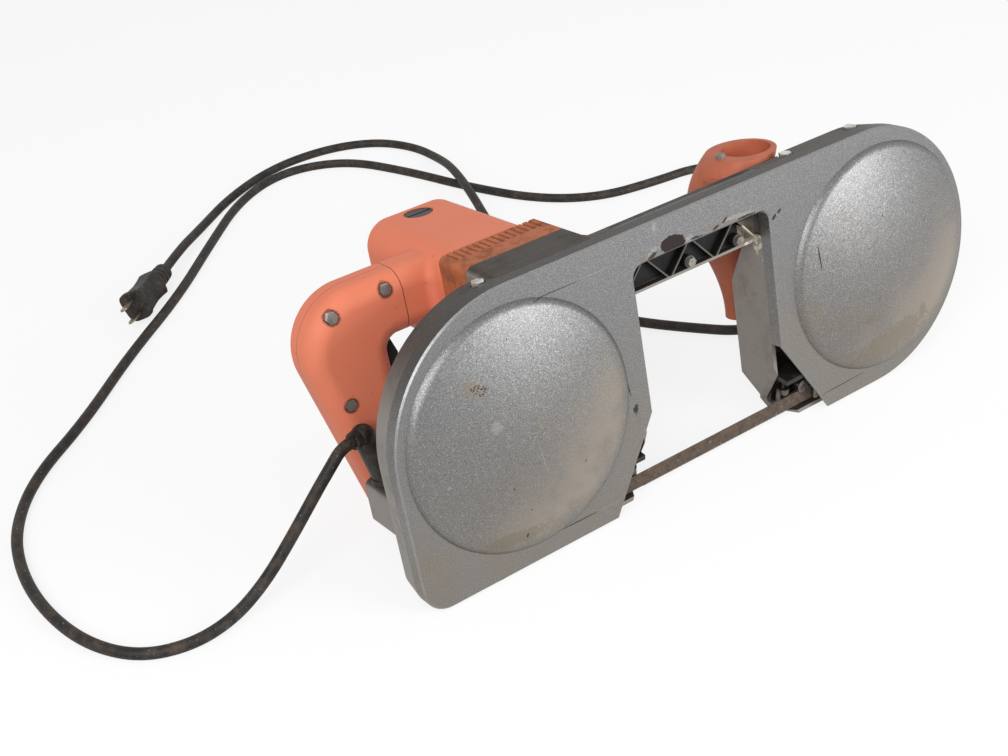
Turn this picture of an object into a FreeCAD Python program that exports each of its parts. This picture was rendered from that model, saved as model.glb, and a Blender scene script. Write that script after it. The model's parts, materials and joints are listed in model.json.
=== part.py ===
import FreeCAD, Part
import math
import operator
import os
import Sketcher
from FreeCAD import Placement, Rotation, Vector

# Portable band saw, in millimetres.
# It is drawn in the saw's own axes: X from the drive wheel to the front wheel, Y from the
# cover's face back to the motor, Z up, with zero on the drive wheel's axis at the cover's face.
# At the end every piece is leaned back onto the drafted underside of the frame and the heel
# of the handle, and set down with the origin in the middle of the footprint.

doc = FreeCAD.newDocument("portable_band_saw")

SIZES = {
    # general
    "overrun": 2.0,
    "running_gap": 0.3,
    "shaft_gap": 0.05,
    "seat_gap": 0.02,
    # wheels and blade
    "wheel_distance": 330.5,
    "wheel_diameter": 152.4,
    "wheel_plane": 11.5,
    "wheel_web": 4.0,
    "wheel_rim": 5.0,
    "wheel_hole_radius": 13.0,
    "wheel_hole_circle": 43.0,
    "tyre_thickness": 3.2,
    "tyre_width": 13.4,
    "hub_radius": 22.0,
    "hub_front": 4.5,
    "hub_back": 18.0,
    "blade_width": 12.7,
    "blade_thickness": 0.6,
    "blade_channel": 0.9,
    "cut_height": 88.0,
    "cut_plane": 12.0,
    "blade_lean_angle": 12.0,
    # cover and frame castings
    "rim_margin": 24.2,
    "rear_end": 6.0,
    "front_end_back": 8.9,
    "corner_radius": 19.0,
    "throat_left": 104.6,
    "throat_right": 226.5,
    "throat_top": 74.1,
    "throat_corner_radius": 9.0,
    "chamfer_start": 34.0,
    "chamfer_run": 41.0,
    "cover_depth": 11.0,
    "cover_wall": 2.6,
    "cover_bevel": 1.2,
    "dome_radius": 87.4,
    "dome_height": 15.0,
    "dome_shoulder": 4.5,
    "dome_crown": 82.0,
    "dome_shoulder_bend": 10.0,
    "dome_crown_bend": 325.0,
    "rim_depth": 30.0,
    "rim_draft": 3.35,
    "frame_wall": 3.0,
    "frame_chamfer_start": 54.0,
    "frame_chamfer_run": 20.0,
    "frame_back_chamfer_start": 85.0,
    "frame_back_chamfer_run": 9.5,
    "bridge_depth": 23.0,
    "bridge_edge": 48.0,
    "bridge_left": 86.0,
    "bridge_right": 270.0,
    "bridge_rib": 1.5,
    "bridge_rib_height": 6.0,
    "bridge_rib_top": 71.0,
    "bridge_boss_radius": 4.5,
    "bridge_boss_first": 163.5,
    "bridge_boss_second": 208.0,
    "bridge_boss_margin": 6.0,
    "bridge_lip": 2.0,
    "pocket_depth": 48.0,
    "pocket_corner": 40.0,
    "pocket_top": 50.0,
    "pocket_front_top": 66.0,
    "pocket_back_front_top": 50.0,
    "pocket_margin": 16.4,
    "pocket_back_top": 8.0,
    "pocket_back_bottom": 68.0,
    "pocket_front": 398.0,
    "pocket_back_front": 386.0,
    "lug_left": 78.0,
    "lug_right": 40.0,
    "lug_top": 39.0,
    "lug_bottom": 73.0,
    "lug_round": 5.0,
    # gear case and gear train
    "case_left": 5.0,
    "case_right": 84.0,
    "case_side_foot": 22.0,
    "case_radius": 50.0,
    "case_wall": 3.0,
    "case_depth": 11.0,
    "plate_thickness": 3.0,
    "boss_radius": 19.0,
    "boss_reach": 10.0,
    "rear_boss_radius": 17.5,
    "rear_boss_reach": 10.0,
    "output_module": 2.0,
    "output_teeth": 44,
    "second_pinion_teeth": 11,
    "second_module": 1.25,
    "second_gear_teeth": 30,
    "first_pinion_teeth": 10,
    "first_module": 1.1,
    "first_gear_teeth": 30,
    "motor_pinion_teeth": 7,
    "second_shaft_angle": 52.0,
    "output_gear_width": 6.4,
    "gear_width": 8.0,
    "gear_space": 2.4,
    "drive_shaft_radius": 7.5,
    "drive_gear_seat_radius": 8.5,
    "drive_tail_radius": 5.0,
    "drive_thread_radius": 5.5,
    "drive_nut_height": 6.0,
    "drive_thread_proud": 1.5,
    "drive_nut_radius": 11.0,
    "front_bearing_radius": 16.0,
    "front_bearing_width": 9.0,
    "tail_bearing_radius": 15.0,
    "tail_bearing_width": 9.0,
    "layshaft_radius": 4.0,
    "bush_radius": 6.5,
    # motor
    "band_depth": 34.0,
    "band_foot": 18.0,
    "band_corner_radius": 6.0,
    "band_groove": 1.8,
    "band_groove_depth": 1.0,
    "band_groove_pitch": 5.2,
    "band_groove_margin": 6.0,
    "band_groove_count": 14,
    "motor_wall": 3.0,
    "motor_end_wall": 4.0,
    "motor_end": 186.0,
    "barrel_radius": 39.6,
    "barrel_corner": 20.0,
    "stub_flare": 7.0,
    "barrel_end_round": 6.0,
    "stub_reach": 18.0,
    "bearing_plate_thickness": 6.0,
    "armature_radius": 21.5,
    "armature_shaft_radius": 5.0,
    "armature_nose_radius": 4.0,
    "armature_tail_radius": 2.5,
    "motor_bearing_radius": 11.0,
    "bearing_lip": 1.0,
    "motor_tail_bearing_radius": 8.0,
    "motor_tail_bearing_width": 5.0,
    "core_start": 98.0,
    "core_length": 48.0,
    "stator_inner_radius": 22.4,
    "fan_start": 76.0,
    "fan_radius": 31.0,
    "fan_disc": 2.0,
    "fan_blade_height": 9.0,
    "fan_blade_thickness": 1.5,
    "fan_blade_start": 12.0,
    "fan_blade_count": 11,
    "commutator_start": 160.0,
    "commutator_length": 15.0,
    "commutator_radius": 12.5,
    "brush_place": 168.0,
    "brush_wide": 6.5,
    "cap_radius": 11.0,
    "cap_height": 9.0,
    "cap_sink": 0.8,
    "cap_slot": 2.0,
    # rear handle, trigger and switch
    "handle_plane": 112.0,
    "handle_half_depth": 20.0,
    "handle_drop": 5.4,
    "handle_arm_height": 45.0,
    "handle_bend": 43.0,
    "handle_back": 95.0,
    "handle_rake_angle": 13.7,
    "handle_heel_top": 42.0,
    "handle_foot": 92.0,
    "handle_grip_front": 34.0,
    "handle_round": 14.0,
    "handle_inner_round": 9.0,
    "switch_back": 64.0,
    "switch_front": 53.0,
    "switch_half_width": 8.5,
    "switch_top": 48.0,
    "switch_foot": 17.0,
    "trigger_back": 46.0,
    "trigger_front": 25.0,
    "trigger_half_width": 7.5,
    "trigger_top": 47.0,
    "trigger_foot": 16.0,
    "trigger_nose": 4.0,
    "trigger_travel": 5.0,
    "spring_radius": 4.0,
    "spring_bore": 3.0,
    "handle_screw_radius": 4.6,
    "handle_screw_depth": 4.4,
    "handle_screw_shank": 2.0,
    "handle_screw_length": 22.0,
    "handle_screw_spare": 0.6,
    "top_screw_x": 30.0,
    "top_screw_drop": 9.0,
    "bend_screw_x": 71.7,
    "bend_screw_drop": 13.5,
    "grip_screw_x": 73.3,
    "grip_screw_z": 17.6,
    # tension carriage and lever
    "axle_radius": 7.5,
    "axle_head_radius": 12.0,
    "idler_bearing_radius": 16.0,
    "carriage_half_length": 26.0,
    "carriage_half_height": 17.0,
    "carriage_front": 20.5,
    "carriage_rail": 4.0,
    "rail_front": 32.0,
    "axle_seat_radius": 6.0,
    "axle_seat_end": 36.0,
    "axle_head": 3.6,
    "tension_travel": 8.0,
    "cam_gap": 0.9,
    "cam_front": 23.0,
    "lever_shaft_radius": 4.5,
    "cam_radius": 9.0,
    "cam_offset": 4.0,
    "lever_thickness": 7.0,
    "lever_hub_radius": 13.0,
    "lever_tip_radius": 8.0,
    "lever_length": 58.0,
    "tension_spring_radius": 7.0,
    "tension_spring_bore": 4.5,
    "tension_spring_length": 26.0,
    "tension_spring_plane": 32.0,
    "spring_seat": 8.0,
    "spring_seat_half": 9.0,
    # blade guides
    "guide_back_roller_radius": 5.0,
    "guide_front_roller_radius": 2.5,
    "guide_thrust_radius": 5.5,
    "guide_thrust_width": 6.0,
    "guide_roller_top": 12.0,
    "guide_roller_foot": 3.5,
    "guide_front_roller_top": 8.0,
    "rear_guide_place": 13.0,
    "front_guide_place": 7.0,
    "guide_end": 6.0,
    "guide_pitch": 13.0,
    "guide_length": 36.0,
    "guide_window": 44.0,
    "guide_plate": 3.2,
    "guide_plate_gap": 0.6,
    "guide_top_front": 4.3,
    "guide_top_plate": 4.0,
    "guide_top": 21.0,
    "guide_pin_radius": 1.2,
    # front handle
    "foot_left": 155.0,
    "foot_right": 266.0,
    "foot_top": 92.0,
    "foot_margin": 2.0,
    "foot_plate": 5.0,
    "grip_neck_left": 214.0,
    "grip_neck_right": 262.0,
    "grip_neck_top": 90.0,
    "grip_neck_foot": 60.0,
    "grip_top": 100.0,
    "grip_top_x": 252.0,
    "grip_top_y": 53.0,
    "grip_top_half": 26.0,
    "grip_wide": 70.0,
    "grip_wide_x": 243.0,
    "grip_wide_y": 61.0,
    "grip_wide_half": 30.0,
    "grip_low": 15.0,
    "grip_low_x": 252.0,
    "grip_low_y": 75.0,
    "grip_low_half": 20.0,
    "grip_end": 38.0,
    "grip_end_x": 254.0,
    "grip_end_y": 76.0,
    "grip_end_half": 11.0,
    "grip_lip": 3.0,
    "grip_well": 12.0,
    "grip_well_shift": 5.0,
    "grip_screw_back": 19.0,
    "grip_screw_head": 3.8,
    "grip_screw_height": 3.0,
    "foot_screw_head": 3.6,
    "foot_screw_height": 2.6,
    "foot_screw_shank": 2.0,
    # rim screws, boot, plug
    "screw_head_radius": 4.6,
    "screw_head_height": 3.6,
    "screw_shank_radius": 2.5,
    "screw_shank_length": 9.0,
    "screw_plane": 18.0,
    "screw_rear_x": 2.0,
    "screw_middle_x": 262.5,
    "screw_front_x": 327.0,
    "screw_recess_spare": 1.2,
    "boot_base_radius": 9.5,
    "boot_tip_radius": 7.2,
    "boot_head_radius": 8.4,
    "boot_collar_radius": 10.5,
    "boot_collar": 4.0,
    "boot_foot_x": 66.0,
    "boot_foot_y": 81.0,
    "boot_tip_x": 76.0,
    "boot_tip_y": 80.0,
    "boot_tip_z": 0.0,
    "boot_sleeve_radius": 6.2,
    "cord_diameter": 8.4,
    "plug_length": 42.0,
    "plug_width": 30.0,
    "plug_height": 26.0,
    "plug_lip": 5.0,
    "plug_relief": 20.0,
    "plug_relief_radius": 9.0,
    "prong_length": 18.0,
    "prong_hole_radius": 1.6,
    "prong_hole_place": 12.0,
    "prong_width": 6.3,
    "prong_thickness": 1.5,
    "prong_pitch": 12.7,
}

# Teeth: height above and below the pitch line, and thickness, as shares of the module and pitch.
ADDENDUM_SHARE = 0.78
DEDENDUM_SHARE = 1.2
TOOTH_SHARE = 0.36
FLANK_SHARE = 0.364

sheet = doc.addObject("Spreadsheet::Sheet", "Sizes")
for row, (name, number) in enumerate(SIZES.items(), 1):
    sheet.set(f"A{row}", name)
    sheet.set(f"B{row}", str(number))
    sheet.setAlias(f"B{row}", name)
doc.recompute()


class Size:
    """A length that keeps the sheet formula it came from beside its present number."""

    def __init__(self, number, formula):
        self.number = number
        self.formula = formula

    def __add__(self, other):
        return combined(operator.add, "+", self, other)

    def __radd__(self, other):
        return combined(operator.add, "+", other, self)

    def __sub__(self, other):
        return combined(operator.sub, "-", self, other)

    def __rsub__(self, other):
        return combined(operator.sub, "-", other, self)

    def __mul__(self, other):
        return combined(operator.mul, "*", self, other)

    def __rmul__(self, other):
        return combined(operator.mul, "*", other, self)

    def __truediv__(self, other):
        return combined(operator.truediv, "/", self, other)

    def __neg__(self):
        return Size(-self.number, f"(-{self.formula})")


def as_size(value):
    if isinstance(value, Size):
        return value
    return Size(value, f"({value})")


def combined(work, sign, first, second):
    first = as_size(first)
    second = as_size(second)
    return Size(work(first.number, second.number), f"({first.formula} {sign} {second.formula})")


def root(value):
    return Size(math.sqrt(value.number), f"sqrt({value.formula})")


class NamedSizes:
    """Gives a cell of the sheet by its name."""

    def __getattr__(self, name):
        return Size(sheet.get(name), f"Sizes.{name}")


size = NamedSizes()
ZERO = as_size(0)

# Places that several pieces share.
front_end = size.wheel_distance - size.front_end_back
wheel_radius = size.wheel_diameter / 2
end_radius = wheel_radius + size.rim_margin
rim_radius = wheel_radius - size.tyre_thickness
blade_inner = wheel_radius + size.running_gap
blade_outer = blade_inner + size.blade_thickness
tyre_front = size.wheel_plane - size.tyre_width / 2
tyre_back = size.wheel_plane + size.tyre_width / 2
case_back = size.rim_depth + size.case_depth
plate_back = case_back + size.plate_thickness
band_back = plate_back + size.band_depth
motor_x = (size.case_left + size.case_right) / 2
motor_z = end_radius - (size.case_right - size.case_left) / 2
handle_top = end_radius - size.handle_drop
handle_arm_foot = handle_top - size.handle_arm_height
handle_front = size.handle_plane - size.handle_half_depth
handle_rear = size.handle_plane + size.handle_half_depth
lean = math.degrees(math.atan2(SIZES["rim_draft"], SIZES["rim_depth"] - SIZES["cover_depth"]))

ALONG = {
    "+x": Rotation(Vector(0, 1, 0), 90),
    "-x": Rotation(Vector(0, 1, 0), -90),
    "+y": Rotation(Vector(1, 0, 0), -90),
    "-y": Rotation(Vector(1, 0, 0), 90),
    "+z": Rotation(),
    "-z": Rotation(Vector(1, 0, 0), 180),
}
LEFT = 1
RIGHT = -1
nodes = []


def bind(feature, prop, value):
    feature.setExpression(prop, as_size(value).formula)


def vector(spot):
    return Vector(*[as_size(value).number for value in spot])


def place(feature, spot, direction="+z"):
    """Stands a primitive at a bound place, with its own Z turned along a main direction."""
    feature.Placement = Placement(vector(spot), ALONG[direction])
    for axis, value in zip("xyz", spot):
        bind(feature, f"Placement.Base.{axis}", value)
    return feature


def node(label, feature, stand=Placement()):
    """Names a finished piece and keeps the stand it was drawn in."""
    feature.Label = label
    nodes.append((label, feature, stand))
    return feature


# Outlines


def arc(start, end, radius, side):
    """The short arc between two points that bulges to one side of the way from start to end."""
    chord = end - start
    across = Vector(-chord.y, chord.x, 0) * (side / chord.Length)
    sagitta_leg = math.sqrt(max(radius * radius - chord.Length * chord.Length / 4, 0))
    centre = (start + end) * 0.5 - across * sagitta_leg
    first, last = (end, start) if side == LEFT else (start, end)
    begin, finish = [math.atan2(point.y - centre.y, point.x - centre.x) for point in (first, last)]
    if finish < begin:
        finish += 2 * math.pi
    return Part.ArcOfCircle(Part.Circle(centre, Vector(0, 0, 1), radius), begin, finish)


def end_at(sketch, index, point):
    line = sketch.Geometry[index]
    return 1 if (line.StartPoint - point).Length < line.length() / 4 else 2


def draw(sketch, corners):
    """Draws a closed outline: (across, up) starts a straight side, (across, up, radius, side) an arc."""
    points = [Vector(as_size(corner[0]).number, as_size(corner[1]).number, 0) for corner in corners]
    count = len(corners)
    for index, corner in enumerate(corners):
        start = points[index]
        end = points[(index + 1) % count]
        if len(corner) == 4:
            sketch.addGeometry(arc(start, end, as_size(corner[2]).number, corner[3]))
        else:
            sketch.addGeometry(Part.LineSegment(start, end))
    ends = [end_at(sketch, index, points[index]) for index in range(count)]
    for index, corner in enumerate(corners):
        for kind, value in (("DistanceX", corner[0]), ("DistanceY", corner[1])):
            value = as_size(value)
            rule = Sketcher.Constraint(kind, -1, 1, index, ends[index], value.number)
            bind(sketch, f"Constraints[{sketch.addConstraint(rule)}]", value)
        following = (index + 1) % count
        joint = Sketcher.Constraint("Coincident", index, 3 - ends[index], following, ends[following])
        sketch.addConstraint(joint)
        if len(corner) == 4:
            rule = Sketcher.Constraint("Radius", index, as_size(corner[2]).number)
            bind(sketch, f"Constraints[{sketch.addConstraint(rule)}]", corner[2])


def body_sketch(body, role, level, corners, shift=ZERO):
    """An outline inside a body, on one of its main planes, set off along the plane's normal."""
    plane = next(feature for feature in body.Origin.OriginFeatures if feature.Role == role)
    sketch = body.newObject("Sketcher::SketchObject", f"{body.Name}_outline")
    sketch.AttachmentSupport = (plane, [""])
    sketch.MapMode = "FlatFace"
    bind(sketch, "AttachmentOffset.Base.z", level)
    bind(sketch, "AttachmentOffset.Base.x", shift)
    draw(sketch, corners)
    return sketch


def upright_sketch(name, level, corners):
    """A free outline in an X-Z plane at a given depth."""
    sketch = doc.addObject("Sketcher::SketchObject", name)
    place(sketch, (ZERO, level, ZERO), "-y")
    draw(sketch, corners)
    return sketch


def pad(body, front, length, corners):
    """Adds an upright outline to a body, from its front depth backwards."""
    feature = body.newObject("PartDesign::Pad", f"{body.Name}_pad")
    feature.Profile = body_sketch(body, "XZ_Plane", -front, corners)
    feature.Reversed = True
    bind(feature, "Length", length)
    return feature


def pocket(body, front, length, corners):
    """Cuts an upright outline out of a body, from its front depth backwards."""
    feature = body.newObject("PartDesign::Pocket", f"{body.Name}_pocket")
    feature.Profile = body_sketch(body, "XZ_Plane", -front, corners)
    bind(feature, "Length", length)
    return feature


def spun(body, kind, corners, shift=ZERO, level=ZERO):
    """Turns a profile of (radius, depth) about an axis along Y, adding or cutting."""
    feature = body.newObject(kind, f"{body.Name}_turn")
    sketch = body_sketch(body, "XY_Plane", level, corners, shift)
    feature.Profile = sketch
    feature.ReferenceAxis = (sketch, ["V_Axis"])
    return feature


def ring(inner, outer, front, back):
    return [(inner, front), (outer, front), (outer, back), (inner, back)]


def new_body(name):
    return doc.addObject("PartDesign::Body", name)


def turned(label, axis_x, axis_z, corners):
    """A turned piece on an axis along Y."""
    body = new_body(label)
    spun(body, "PartDesign::Revolution", corners)
    doc.recompute()
    return node(label, body, Placement(vector((axis_x, ZERO, axis_z)), Rotation()))


def depth_edges(shape, spots):
    """Names the edges that run along Y at the given (x, z) spots."""
    names = []
    for number, edge in enumerate(shape.Edges, 1):
        ends = [vertex.Point for vertex in edge.Vertexes]
        if len(ends) != 2 or abs(ends[0].y - ends[1].y) < edge.Length * 0.999:
            continue
        for x, z in spots:
            gap = Vector(ends[0].x - as_size(x).number, 0, ends[0].z - as_size(z).number)
            if gap.Length < edge.Length / 100:
                names.append(f"Edge{number}")
    return names


def rounded(body, base, names, radius, kind="PartDesign::Fillet"):
    feature = body.newObject(kind, f"{body.Name}_edge")
    feature.Base = (base, names)
    bind(feature, "Radius" if kind.endswith("Fillet") else "Size", radius)
    doc.recompute()
    return feature


def face_at(shape, depth):
    """Names the flat face that lies across Y at a depth."""
    best = None
    for number, face in enumerate(shape.Faces, 1):
        box = face.BoundBox
        if box.YLength < 0.001 and abs(box.YMin - as_size(depth).number) < 0.001:
            if best is None or face.Area > best[1]:
                best = (f"Face{number}", face.Area)
    return [best[0]]


# Plain solids


def block(low, high):
    feature = doc.addObject("Part::Box", "block")
    place(feature, low)
    for prop, start, end in zip(("Length", "Width", "Height"), low, high):
        bind(feature, prop, end - start)
    return feature


def rod(radius, start, length, direction):
    feature = doc.addObject("Part::Cylinder", "rod")
    place(feature, start, direction)
    bind(feature, "Radius", radius)
    bind(feature, "Height", length)
    return feature


def hexagon(radius, start, length, direction):
    feature = doc.addObject("Part::Prism", "hexagon")
    feature.Polygon = 6
    place(feature, start, direction)
    bind(feature, "Circumradius", radius)
    bind(feature, "Height", length)
    return feature


def fused(*pieces):
    feature = doc.addObject("Part::MultiFuse", "joined")
    feature.Shapes = list(pieces)
    return feature


def cut(base, *tools):
    feature = doc.addObject("Part::Cut", "trimmed")
    feature.Base = base
    feature.Tool = tools[0] if len(tools) == 1 else fused(*tools)
    return feature


def group(*pieces):
    feature = doc.addObject("Part::Compound", "set")
    feature.Links = list(pieces)
    return feature


def loft(sections, ruled=True):
    feature = doc.addObject("Part::Loft", "loft")
    feature.Sections = sections
    feature.Solid = True
    feature.Ruled = ruled
    return feature


# Cover and frame outline


def chamfer_corners(edge, sign, start, run, inset, throat_inset):
    """The two corners of the slanted side below the throat, on one lobe."""
    rise = end_radius - start
    length = root(run * run + rise * rise)
    upper = (edge + sign * throat_inset, throat_inset * (length - rise) / run - start)
    reach = run * (rise - inset) / rise + throat_inset * length / rise
    lower = (edge + sign * reach, inset - end_radius)
    return upper, lower


def saw_outline(inset, throat_inset, top, start, run):
    """The saw seen from its cover: two round ends, a bridge and the open throat between them."""
    reach = end_radius - inset
    corner = size.corner_radius - inset
    right_upper, right_lower = chamfer_corners(size.throat_right, 1, start, run, inset, throat_inset)
    left_upper, left_lower = chamfer_corners(size.throat_left, -1, start, run, inset, throat_inset)
    return [
        (size.rear_end, reach),
        (front_end, reach, reach, LEFT),
        (front_end + reach, ZERO, reach, LEFT),
        (front_end, -reach),
        right_lower,
        right_upper,
        (size.throat_right + throat_inset, top + throat_inset),
        (size.throat_left - throat_inset, top + throat_inset),
        left_upper,
        left_lower,
        (size.rear_end - reach + corner, -reach, corner, LEFT),
        (size.rear_end - reach, corner - reach),
        (size.rear_end - reach, ZERO, reach, LEFT),
    ]


def dome_profile(inset):
    """Half of a pressed dome: a tight shoulder at its rim and a flat crown."""
    return [
        (ZERO, size.cover_wall - inset),
        (ZERO, inset - size.dome_height),
        (size.dome_crown, inset - size.dome_shoulder),
        (size.dome_radius - inset, ZERO),
        (size.dome_radius - inset, size.cover_wall - inset),
    ]


# Front cover: a cast cover with a dome over each wheel


def front_cover():
    body = new_body("cover_shell")
    outline = saw_outline(ZERO, ZERO, size.throat_top, size.chamfer_start, size.chamfer_run)
    plate = pad(body, ZERO, size.cover_depth, outline)
    doc.recompute()
    top_corners = [(size.throat_left, size.throat_top), (size.throat_right, size.throat_top)]
    base = rounded(body, plate, depth_edges(plate.Shape, top_corners), size.throat_corner_radius)
    rounded(body, base, face_at(base.Shape, ZERO), size.cover_bevel, "PartDesign::Chamfer")
    inside = saw_outline(size.cover_wall, size.cover_wall, size.throat_top, size.chamfer_start,
                         size.chamfer_run)
    pocket(body, size.cover_wall, size.cover_depth, inside)
    for shift in (ZERO, size.wheel_distance):
        crown = dome_profile(ZERO)
        crown[1] = crown[1] + (size.dome_crown_bend, RIGHT)
        crown[2] = crown[2] + (size.dome_shoulder_bend, RIGHT)
        spun(body, "PartDesign::Revolution", crown, shift)
        hollow = dome_profile(size.cover_wall)
        hollow[0] = (ZERO, size.cover_wall + size.overrun)
        hollow[1] = hollow[1] + (size.dome_crown_bend, RIGHT)
        hollow[2] = hollow[2] + (size.dome_shoulder_bend, RIGHT)
        hollow[4] = (hollow[4][0], size.cover_wall + size.overrun)
        spun(body, "PartDesign::Groove", hollow, shift)
    doc.recompute()
    back = size.cover_depth + size.overrun
    low = -end_radius - size.overrun
    past = size.chamfer_run + size.corner_radius
    openings = [
        block((size.throat_right - size.overrun, size.cover_wall, low),
              (size.throat_right + past, back, -size.chamfer_start)),
        block((size.throat_left - past, size.cover_wall, low),
              (size.throat_left + size.overrun, back, -size.chamfer_start)),
        block((size.throat_left - size.cover_wall, size.cover_wall, blade_inner - size.blade_channel),
              (size.throat_right + size.cover_wall, back, blade_outer + size.blade_channel)),
    ]
    return node("front_cover", cut(body, *openings))


def prism(front, depth, corners):
    """An upright outline drawn back from a depth."""
    feature = doc.addObject("Part::Extrusion", "prism")
    feature.Base = upright_sketch("prism_outline", front, corners)
    feature.DirMode = "Custom"
    feature.Dir = Vector(0, 1, 0)
    feature.Solid = True
    bind(feature, "LengthFwd", depth)
    return feature


def tube(bore, radius, start, length, direction):
    """A plain round bush or roller."""
    opening = rod(bore, start, length, direction)
    return cut(rod(radius, start, length, direction), opening)


def sine(angle):
    return Size(math.sin(math.radians(angle.number)), f"sin({angle.formula} * 1 deg)")


def cosine(angle):
    return Size(math.cos(math.radians(angle.number)), f"cos({angle.formula} * 1 deg)")


def about_y(degrees):
    return Rotation(Vector(0, 1, 0), degrees)


# Frame: the casting behind the cover, open to the front, with a bridge over the throat


screw_seat = end_radius - size.rim_draft
screw_places = (-size.screw_rear_x, size.screw_middle_x, size.screw_front_x)
boss_places = (size.bridge_boss_first, size.bridge_boss_second)
bridge_boss_height = size.bridge_edge + size.bridge_boss_margin
bridge_wall_front = size.bridge_depth - size.frame_wall
boss_front = bridge_wall_front - size.bridge_rib_height
carriage_left = size.wheel_distance - size.carriage_half_length
carriage_back = size.pocket_depth - size.frame_wall - size.running_gap
carriage_right = size.wheel_distance + size.carriage_half_length
lever_x = carriage_right + size.cam_radius - size.cam_offset + size.cam_gap
spring_left = carriage_left - size.tension_spring_length


def rim_section(depth, inset, throat_inset, start, run):
    outline = saw_outline(inset, throat_inset, size.bridge_edge, start, run)
    return upright_sketch("rim_section", depth, outline)


def pocket_section(depth, inset, front, top, front_top, bottom):
    """An outline of the raised back of the front lobe, which makes room for the tension carriage."""
    corner = size.pocket_corner
    corners = [
        (size.throat_right + inset, top - inset),
        (front - corner, front_top - inset),
        (front - inset, front_top - corner),
        (front - inset, corner - bottom),
        (front - corner, inset - bottom),
        (size.throat_right + inset, inset - bottom),
    ]
    return upright_sketch("pocket_section", depth, corners)


def pocket_loft(inset, front_depth, back_depth):
    return loft([
        pocket_section(front_depth, inset, size.pocket_front, size.pocket_top, size.pocket_front_top,
                       end_radius - size.pocket_margin),
        pocket_section(back_depth, inset, size.pocket_back_front, size.pocket_back_top,
                       size.pocket_back_front_top, size.pocket_back_bottom),
    ])


def bridge_walls():
    """The bridge's back wall, its two steps down to the lobes, its thin zig-zag ribs and screw bosses."""
    low = size.bridge_edge
    high = end_radius - size.frame_wall
    step_top = end_radius - size.rim_draft - size.frame_wall / 3
    wall = size.frame_wall
    pieces = [
        block((size.bridge_left, bridge_wall_front, low), (size.bridge_right, size.bridge_depth, high)),
        block((size.bridge_left, bridge_wall_front, low),
              (size.bridge_left + wall, size.rim_depth, step_top)),
        block((size.bridge_right - wall, bridge_wall_front, low),
              (size.bridge_right, size.rim_depth, step_top)),
        block((size.bridge_left, bridge_wall_front, low - wall), (size.throat_left, size.rim_depth, low)),
        block((size.throat_right, bridge_wall_front, low - wall), (size.bridge_right, size.rim_depth, low)),
        block((size.throat_left, boss_front, low),
              (size.throat_right, size.bridge_depth, low + size.bridge_lip)),
    ]
    count = 6
    pitch = (size.throat_right - size.throat_left) / count
    half = size.bridge_rib / 2
    for number in range(count):
        first = size.throat_left + pitch * number
        second = first + pitch
        foot, head = (first, second) if number % 2 == 0 else (second, first)
        corners = [(head - half, size.bridge_rib_top), (head + half, size.bridge_rib_top),
                   (foot + half, low),
                   (foot - half, low)]
        pieces.append(prism(boss_front, size.bridge_rib_height + size.overrun, corners))
    for x in boss_places:
        pieces.append(rod(size.bridge_boss_radius, (x, boss_front, bridge_boss_height),
                          size.bridge_rib_height + size.overrun, "+y"))
    return pieces


def carriage_seats():
    """The two rails and the spring's stop, on the inner side of the pocket's back wall."""
    back = size.pocket_depth - size.frame_wall / 2
    left = carriage_left - size.tension_travel - size.overrun
    low = size.carriage_half_height + size.running_gap
    high = low + size.carriage_rail
    half = size.spring_seat_half
    return [
        block((left, size.rail_front, low), (lever_x, back, high)),
        block((left, size.rail_front, -high), (lever_x, back, -low)),
        block((spring_left - size.spring_seat, size.tension_spring_plane - half, -half),
              (spring_left, back, half)),
    ]


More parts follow.
